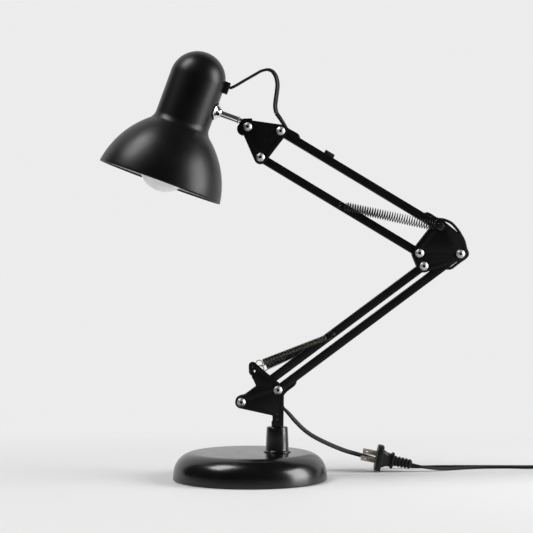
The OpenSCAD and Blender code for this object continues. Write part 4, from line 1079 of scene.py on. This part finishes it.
class LAMP_OT_bars(bpy.types.Operator):
    """Adds the four square tubes of the arms, their cross pins and the small clip."""

    bl_idname = "lamp.bars"
    bl_label = "Arm bars"

    def bar(self, node, pivot, angle, length, past, body, slotted):
        """A bar that reaches past its far pivot. The cable bars are slotted."""
        corner = bpy.context.scene.lamp_sizes.bar_corner
        bar = square_tube(node + "_tube", 5.0, length + past, corner)
        if slotted:
            cable_slot(bar, SLOT_AT)
            cable_slot(bar, length - SLOT_AT)
        smooth(settle(bar, in_bar(pivot, angle)), 40)
        ride(bar, body, "black_enamel", "black_enamel", node)

    def execute(self, context):
        self.bar("lower_spring_bar", PIVOT_P1, LOWER_ANGLE, LOWER_LEN, 5.0, "lower_spring_arm", False)
        self.bar("lower_cable_bar", PIVOT_P2, LOWER_ANGLE, LOWER_LEN, 7.5, "lower_cable_arm", True)
        self.bar("upper_spring_bar", PIVOT_A, UPPER_ANGLE, UPPER_LEN, 5.0, "upper_spring_arm", False)
        self.bar("upper_cable_bar", PIVOT_D, UPPER_ANGLE, UPPER_LEN, 5.0, "upper_cable_arm", True)
        for arm, middle, reach in (("lower", LOWER_MID, 11.3), ("upper", UPPER_MID, 13.7)):
            pin = prism(f"{arm}_cross_pin", 1.4, -reach, reach, 32)
            bevel_edges(pin, lambda *ends: not is_upright(*ends), 0.4 * MM, 2)
            smooth(settle(pin, shift(middle) @ FACING_BACK))
            ride(pin, f"{arm}_spring_arm", "steel", "blued_pin", f"{arm}_spring_pin")
        ride_solid("bar_clip", "bar_clip_moulding", "upper_cable_arm", "black_plate", "moulded_black",
                   0.35 * MM)
        return {"FINISHED"}


# ---- Springs

SPRING_R, UPPER_SPRING_R = 3.55, 4.9    # of the middle of the wire
HOOK_FROM_P1, REAR_HOOK_DROP = (12.1, 37.5), 4.6
LOWER_SPRING_Y, UPPER_SPRING_Y = 9.3, 12.7


def curls(first, last, depth, count, phase, radius=SPRING_R, steps=14):
    """Curls of a spring round the line from first to last, at a depth."""
    line = (last - first).normalized()
    up = Vector((-line.y, line.x))
    points = []
    for i in range(round(count * steps) + 1):
        turn = radians(phase + 360 * i / steps)
        middle = first.lerp(last, i / (count * steps))
        points.append(space(middle + up * radius * sin(turn), depth - radius * cos(turn)))
    return points


def eye(middle, depth, radius, first, last, steps):
    return [space(point, depth) for point in arc(middle, radius, first, last, steps)]


def angle_of(line):
    return degrees(atan2(line.y, line.x))


class LAMP_OT_springs(bpy.types.Operator):
    """Adds the four springs, each one unbroken wire with an eye at both ends."""

    bl_idname = "lamp.springs"
    bl_label = "Springs"

    def lower(self, name, drop, depth, bends):
        """A lower spring. bends are the middles of its ring and of its first and last curl, from P1."""
        sizes = bpy.context.scene.lamp_sizes
        side = 1 if depth > 0 else -1
        hook = PIVOT_P1 + Vector((HOOK_FROM_P1[0], HOOK_FROM_P1[1] - drop)) + polar(3.65, 85)
        ring, first, last = (PIVOT_P1 + Vector(bend) for bend in bends)
        line = (last - first).normalized()
        inner, outer = side * (CHEEK_IN - 0.75), side * (CHEEK_OUT + 0.7)
        turn = angle_of(line)
        points = [space(hook, outer), space(hook, (inner + outer) / 2), space(hook + line * 0.5, inner)]
        points += eye(ring, inner, 3.8, turn + 175, turn - 80, 20)
        points += curls(first, last, depth, sizes.lower_curls, 270)
        points += eye(LOWER_MID - line * 1.3, depth, SPRING_R, turn - 120, turn + 150, 18)
        spring = wire_form(f"lower_{name}_spring_wire", points, sizes.wire, (1, 0, 0))
        ride(spring, "lower_springs", "spring_steel", "lower_spring_wire", f"lower_spring_{name}")

    def upper(self, name, depth, shift):
        """An upper spring. shift moves its curls along, since the two springs of the photo don't line up."""
        sizes = bpy.context.scene.lamp_sizes
        line = (UPPER_MID - PIVOT_D).normalized()
        turn = angle_of(line)
        points = [space(PIVOT_D + polar(3.9, turn + 44) + polar(4.2, turn - 38), depth * 1.03)]
        points += eye(PIVOT_D, depth, 3.6, turn + 60, turn + 330, 18)
        points += curls(PIVOT_D + line * (5.65 + shift), UPPER_MID - line * (6.8 - shift), depth,
                        sizes.upper_curls, 90, UPPER_SPRING_R)
        points += eye(UPPER_MID - line * 1.3, depth, SPRING_R, turn - 150, turn + 120, 18)
        spring = wire_form(f"upper_{name}_spring_wire", points, sizes.upper_wire, (0, 1, 0))
        hang(spring, ("upper_springs", "upper_spring_hooks"), space(PIVOT_D + line * 6),
             space(UPPER_MID - line * 6), "spring_steel", "upper_spring_wire",
             f"upper_spring_{name}", "upper_spring_eyes")

    def execute(self, context):
        self.lower("front", 0.0, -LOWER_SPRING_Y, ((20.5, 44.4), (25.1, 45.8), (97.3, 73.7)))
        self.lower("rear", REAR_HOOK_DROP, LOWER_SPRING_Y, ((22.0, 37.4), (29.0, 39.7), (97.8, 70.9)))
        self.upper("front", -UPPER_SPRING_Y, 0)
        self.upper("rear", UPPER_SPRING_Y, 0.85)
        return {"FINISHED"}


# ---- Plates and fasteners

SCREW_R, SCREW_H, SOCKET_WIDTH, SOCKET_DEPTH = 4.95, 2.6, 3.2, 2.2
THREAD_PITCH = 0.7
NUT_WIDTH, NUT_H = 8, 3.2


def domed_screw():
    """A domed screw head with a hex socket, its seat at the origin and its dome along local Z."""
    dome_r = (SCREW_R ** 2 + SCREW_H ** 2) / (2 * SCREW_H)
    profile = [(0.0, 0.0), (SCREW_R - 0.25, 0.0), (SCREW_R - 0.02, 0.2)]
    low = degrees(asin((dome_r - SCREW_H + 0.45) / dome_r))
    profile += arc((0, SCREW_H - dome_r), dome_r, low, 90, 12)
    head = turned("screw_head", profile, 48)
    cut(head, prism("socket_cutter", across_flats(SOCKET_WIDTH), SCREW_H - SOCKET_DEPTH, SCREW_H + 1.8, 6))
    head.data.materials.append(finish("screw_steel"))
    # The socket's walls and floor take the second, dark finish: painted shade in the recess of the socket
    head.data.materials.append(finish("socket_painted_shade"))
    for face in head.data.polygons:
        deep = face.normal.z < 0.6 or face.center.z < 1.5 * MM
        if deep and hypot(face.center.x, face.center.y) < 1.95 * MM:
            face.material_index = 1
    return smooth(head, 40)


def threaded_end(reach):
    """A screw's threaded end along local Z."""
    profile = [(0.0, -3.0), (2.3, -3.0)]
    for i in range(int(reach / THREAD_PITCH)):
        profile += raised(i * THREAD_PITCH, (2.4, 0.1), (2.12, 0.45))
    profile += [(2.3, reach - 0.35), (1.9, reach), (0.0, reach)]
    return turned("screw_end", profile, 32, edge=30)


def hex_nut():
    """A chamfered hex nut, its seat at the origin and its hole along local Z."""
    nut = prism("hex_nut", across_flats(NUT_WIDTH), 0, NUT_H, 6)
    for side in (-1, 1):
        open_end(nut, 2, side)
        bpy.ops.mesh.inset(thickness=0.45 * MM, depth=0.28 * MM)
        bpy.ops.mesh.inset(thickness=1.0 * MM)
        extrude((0, 0, -side * 0.5 * MM))
        end_edit()
    for vertex in nut.data.vertices:
        vertex.co.z = min(max(vertex.co.z, 0.0), NUT_H * MM)
    round_edges(nut, 0.12 * MM, 2, 25)
    return smooth(nut, 30)


def copy_at(model, place):
    """A copy of a model, with its own mesh, at a place."""
    pick(model)
    bpy.ops.object.duplicate()
    return settle(bpy.context.object, place)


class LAMP_OT_fasteners(bpy.types.Operator):
    """Adds the plates of the elbow and the head, the domed screws on the near side and the nuts behind."""

    bl_idname = "lamp.fasteners"
    bl_label = "Plates, screws and nuts"

    def plates(self, edge):
        for group, body in (("elbow", "elbow"), ("head", "head_plates")):
            for side in ("front", "rear"):
                ride_solid(f"{group}_{side}_plate", f"{group}_{side}_stamping", body, "black_plate",
                           "plate_enamel", edge)
        ride_solid("elbow_pin", "elbow_pin_turning", "elbow", "black_plate", "blued_pin", 0.3 * MM)
        dress("soft_rubber", "elbow_washers", "head_washers")

    def execute(self, context):
        self.plates(context.scene.lamp_sizes.plate_edge)
        head, end, nut = domed_screw(), threaded_end(4.0), hex_nut()
        groups = (("bracket", "lower_bracket", (PIVOT_P1, PIVOT_P2), CHEEK_OUT),
                  ("elbow", "elbow", (PIVOT_A, PIVOT_B, PIVOT_C), PLATE_OUT),
                  ("head", "head_plates", (PIVOT_E, PIVOT_F, PIVOT_S), PLATE_OUT))
        for group, body, pivots, face in groups:
            screws, nuts = [], []
            for i, pivot in enumerate(pivots):
                spin = turned_by(17 + 47 * i, "Z")    # no two sockets stand alike
                back = shift(pivot, face) @ FACING_BACK @ spin
                screws.append(copy_at(head, shift(pivot, -face) @ FACING_FRONT @ spin))
                screws.append(copy_at(end, back))
                nuts.append(copy_at(nut, back))
            ride(join(f"{group}_screw_set", screws), body, "chrome", None, f"{group}_screws")
            ride(join(f"{group}_nut_set", nuts), body, "steel", "zinc_plate", f"{group}_nuts")
        discard(head, end, nut)
        return {"FINISHED"}


# ---- Head

WASHER_WIDENING = 1.45    # of the washer and its gasket along the neck
ROD_HOLE_R = 3.86    # in the washer and its gasket
STRAP_HALF = 7    # half the width of the holder's strap, which the rod's nut sits on


def saddled(piece):
    """Widens a piece turned round the rod's axis, bends it to the neck and puts it on the rod."""
    for vertex in piece.data.vertices:
        outer = min(1.0, max(0.0, (hypot(vertex.co.x, vertex.co.y) / MM - 5) / 4.4))
        vertex.co.y *= 1 + (WASHER_WIDENING - 1) * outer
        vertex.co.z -= NECK_R * MM - sqrt((NECK_R * MM) ** 2 - vertex.co.y ** 2)
    return smooth(settle(piece, ON_ROD), 50)


class LAMP_OT_head(bpy.types.Operator):
    """Adds the knuckle, the chrome rod, its ring and the dished washer at the neck."""

    bl_idname = "lamp.head"
    bl_label = "Knuckle and rod"

    def rod(self):
        strap = sqrt((NECK_R - SHADE_WALL) ** 2 - STRAP_HALF ** 2) - 0.1
        nut_x = -SHADE_REACH + strap - 1.8
        start, step, root = nut_x - 5.0, -13.4, -5.2
        profile = [(0.0, start), (3.3, start), (3.8, start + 0.5), (3.8, step - 0.5), (3.4, step),
                   (3.2, step), (3.2, root), (0.0, root)]
        rod = turned("shade_rod_turning", profile, 48, ON_ROD)
        ride(rod, "head_stem", "chrome", "polished_chrome", "shade_rod")
        profile = raised(step, (3.22, 0.05), (4.0, 0.05), (4.2, 0.25), (4.2, 0.95), (4.0, 1.15), (3.22, 1.15))
        ring = turned("rod_ring_turning", profile, 48, ON_ROD)
        ride(ring, "head_stem", "chrome", "screw_steel", "rod_ring")

    def washer(self):
        wall = -SHADE_REACH + NECK_R
        dish = raised(wall + 0.9, (ROD_HOLE_R, 0), (9.1, 0), (9.4, 0.3), (9.4, 0.7), (9.1, 1.1), (8.5, 1.9),
                      (7.7, 2.8), (6.7, 3.7), (5.8, 4.5), (5.2, 5.6), (4.9, 6.0), (4.5, 6.2),
                      (ROD_HOLE_R, 6.0))
        washer = saddled(turned("dished_washer", dish, 64, edge=50))
        ride(washer, "shade", "chrome", "polished_chrome", "rod_washer")
        pad = raised(wall, (ROD_HOLE_R, 0.02), (10.0, 0.02), (10.2, 0.3), (10.0, 0.88), (ROD_HOLE_R, 0.88))
        gasket = saddled(turned("saddle_gasket", pad, 64, edge=50))
        ride(gasket, "shade", "black_rubber", "soft_rubber", "shade_gasket")

    def execute(self, context):
        ride_solid("knuckle", "knuckle_block", "head_stem", "black_plate", "plate_enamel", 0.5 * MM, 3)
        self.rod()
        self.washer()
        dress("zinc_plate", "rod_nut")
        return {"FINISHED"}


# ---- Shade and bulb

RIM_R, BELL_R, BELL_DROP, FILLET_R = 73.4, 105.0, 14.35, 14.0
RIM_EDGE = 1.6 * MM    # faces whose middle is lower than this are black inside too
HOLDER_TOP, HOLDER_LEN = NECK_TOP - 6, 44
GLOBE_R, GLOBE_Z = 30, 20
CAP_R, CAP_WALL, CAP_FIT, CAP_LEN = 13, 0.8, 0.02, 43


def shade_profile():
    """The shade's outside from the rim to the top, as [radius, height]."""
    bell_mid = Vector((RIM_R - sqrt(BELL_R ** 2 - BELL_DROP ** 2), -BELL_DROP))
    fillet_x = NECK_R + FILLET_R
    fillet_z = bell_mid.y + sqrt((BELL_R + FILLET_R) ** 2 - (fillet_x - bell_mid.x) ** 2)
    fillet_mid = Vector((fillet_x, fillet_z))
    touch = angle_of(fillet_mid - bell_mid)
    rim = degrees(asin(BELL_DROP / BELL_R))
    return (arc(bell_mid, BELL_R, rim, rim + 1.15, 1)
            + arc(bell_mid, BELL_R, rim + 1.15, touch, 30)[1:]
            + arc(fillet_mid, FILLET_R, touch + 180, 180, 10)[1:]
            + arc((0, NECK_TOP), NECK_R, 0, 90, 22))


class LAMP_OT_shade(bpy.types.Operator):
    """Adds the spun shade with its cable gland, the frosted bulb and the lamp holder with its strap."""

    bl_idname = "lamp.shade"
    bl_label = "Shade and bulb"

    def shade(self):
        """The shade: black outside and over its rim, pale inside."""
        shade = turned("spun_shade", shade_profile(), 128, IN_SHADE, 60)
        shade.data.materials.append(finish("black_enamel"))
        shade.data.materials.append(finish("white_enamel"))
        add_modifier(shade, "SOLIDIFY", thickness=SHADE_WALL * MM, use_even_offset=True, material_offset=1)
        into_shade = IN_SHADE.inverted()
        for face in shade.data.polygons:
            if (into_shade @ face.center).z < RIM_EDGE:
                face.material_index = 0
        ride(shade, "shade", "black_enamel", None, "shade", "shade_neck")

    def bulb(self):
        cap_low = HOLDER_TOP - CAP_LEN
        neck = CAP_R - CAP_WALL - CAP_FIT
        profile = arc((0, GLOBE_Z), GLOBE_R, -90, 38, 36) + [(20.2, 43.6), (17.2, 51.5), (15.2, 59.0)]
        profile += raised(cap_low, (neck + 1.6, -8), (neck + 0.4, -3), (neck, 0), (neck, 12))
        glass = turned("bulb_globe", profile, 96, IN_SHADE, 70)
        ride(glass, "shade", "frosted_glass", "frosted_glass", "bulb_glass")

    def execute(self, context):
        self.shade()
        ride_solid("cable_gland", "cable_gland_block", "shade", "black_plastic", "moulded_black", 0.7 * MM, 3)
        self.bulb()
        body = raised(HOLDER_TOP - HOLDER_LEN, (13.6, 24), (13.5, 0.6), (14.0, 0), (16.4, 0), (17.0, 0.6),
                      (17.0, 6), (16.5, 6.5), (16.5, 8), (17.0, 8.5), (17.0, 30), (15.5, 36), (13.0, 38),
                      (13.0, HOLDER_LEN - 1), (12.0, HOLDER_LEN), (0.0, HOLDER_LEN))
        holder = turned("lamp_holder_body", body, 64, IN_SHADE, 30)
        ride(holder, "shade", "holder_white", "porcelain", "lamp_holder")
        ride_solid("holder_strap", "holder_strap_stamping", "shade", "steel", "zinc_plate", 0.2 * MM)
        dress("zinc_plate", "bulb_cap")
        return {"FINISHED"}


# ---- Panel and registration


class LAMP_PT_pieces(bpy.types.Panel):
    """Lists the lamp's pieces, sizes and colours in the sidebar."""

    bl_label = "Architect Lamp"
    bl_idname = "LAMP_PT_pieces"
    bl_space_type = "VIEW_3D"
    bl_region_type = "UI"
    bl_category = "Lamp"

    def draw(self, context):
        layout = self.layout
        scene = context.scene
        for group in (scene.lamp_sizes, scene.lamp_colours, scene.lamp_stage):
            box = layout.box()
            for key in group.__annotations__:
                box.prop(group, key)
        for step in STEPS:
            layout.operator(step.bl_idname)


STEPS = (LAMP_OT_stage, LAMP_OT_cords, LAMP_OT_base, LAMP_OT_bars, LAMP_OT_springs, LAMP_OT_fasteners,
         LAMP_OT_head, LAMP_OT_shade)
GROUPS = (("lamp_sizes", LampSizes), ("lamp_colours", LampColours), ("lamp_stage", StageSettings))


def register():
    for name, group in GROUPS:
        bpy.utils.register_class(group)
        setattr(bpy.types.Scene, name, bpy.props.PointerProperty(type=group))
    for step in STEPS:
        bpy.utils.register_class(step)
    bpy.utils.register_class(LAMP_PT_pieces)


def unregister():
    bpy.utils.unregister_class(LAMP_PT_pieces)
    for step in reversed(STEPS):
        bpy.utils.unregister_class(step)
    for name, group in reversed(GROUPS):
        delattr(bpy.types.Scene, name)
        bpy.utils.unregister_class(group)


def main():
    register()
    bpy.ops.object.select_all(action="DESELECT")
    for step in STEPS:
        area, call = step.bl_idname.split(".")
        getattr(getattr(bpy.ops, area), call)()
    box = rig.bounds()
    with open("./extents.json", "w") as out:
        json.dump({"cad": [list(corner) for corner in CAD_BOX],
                   "visual": [list(corner) for corner in box]}, out)


if __name__ == "__main__":
    main()
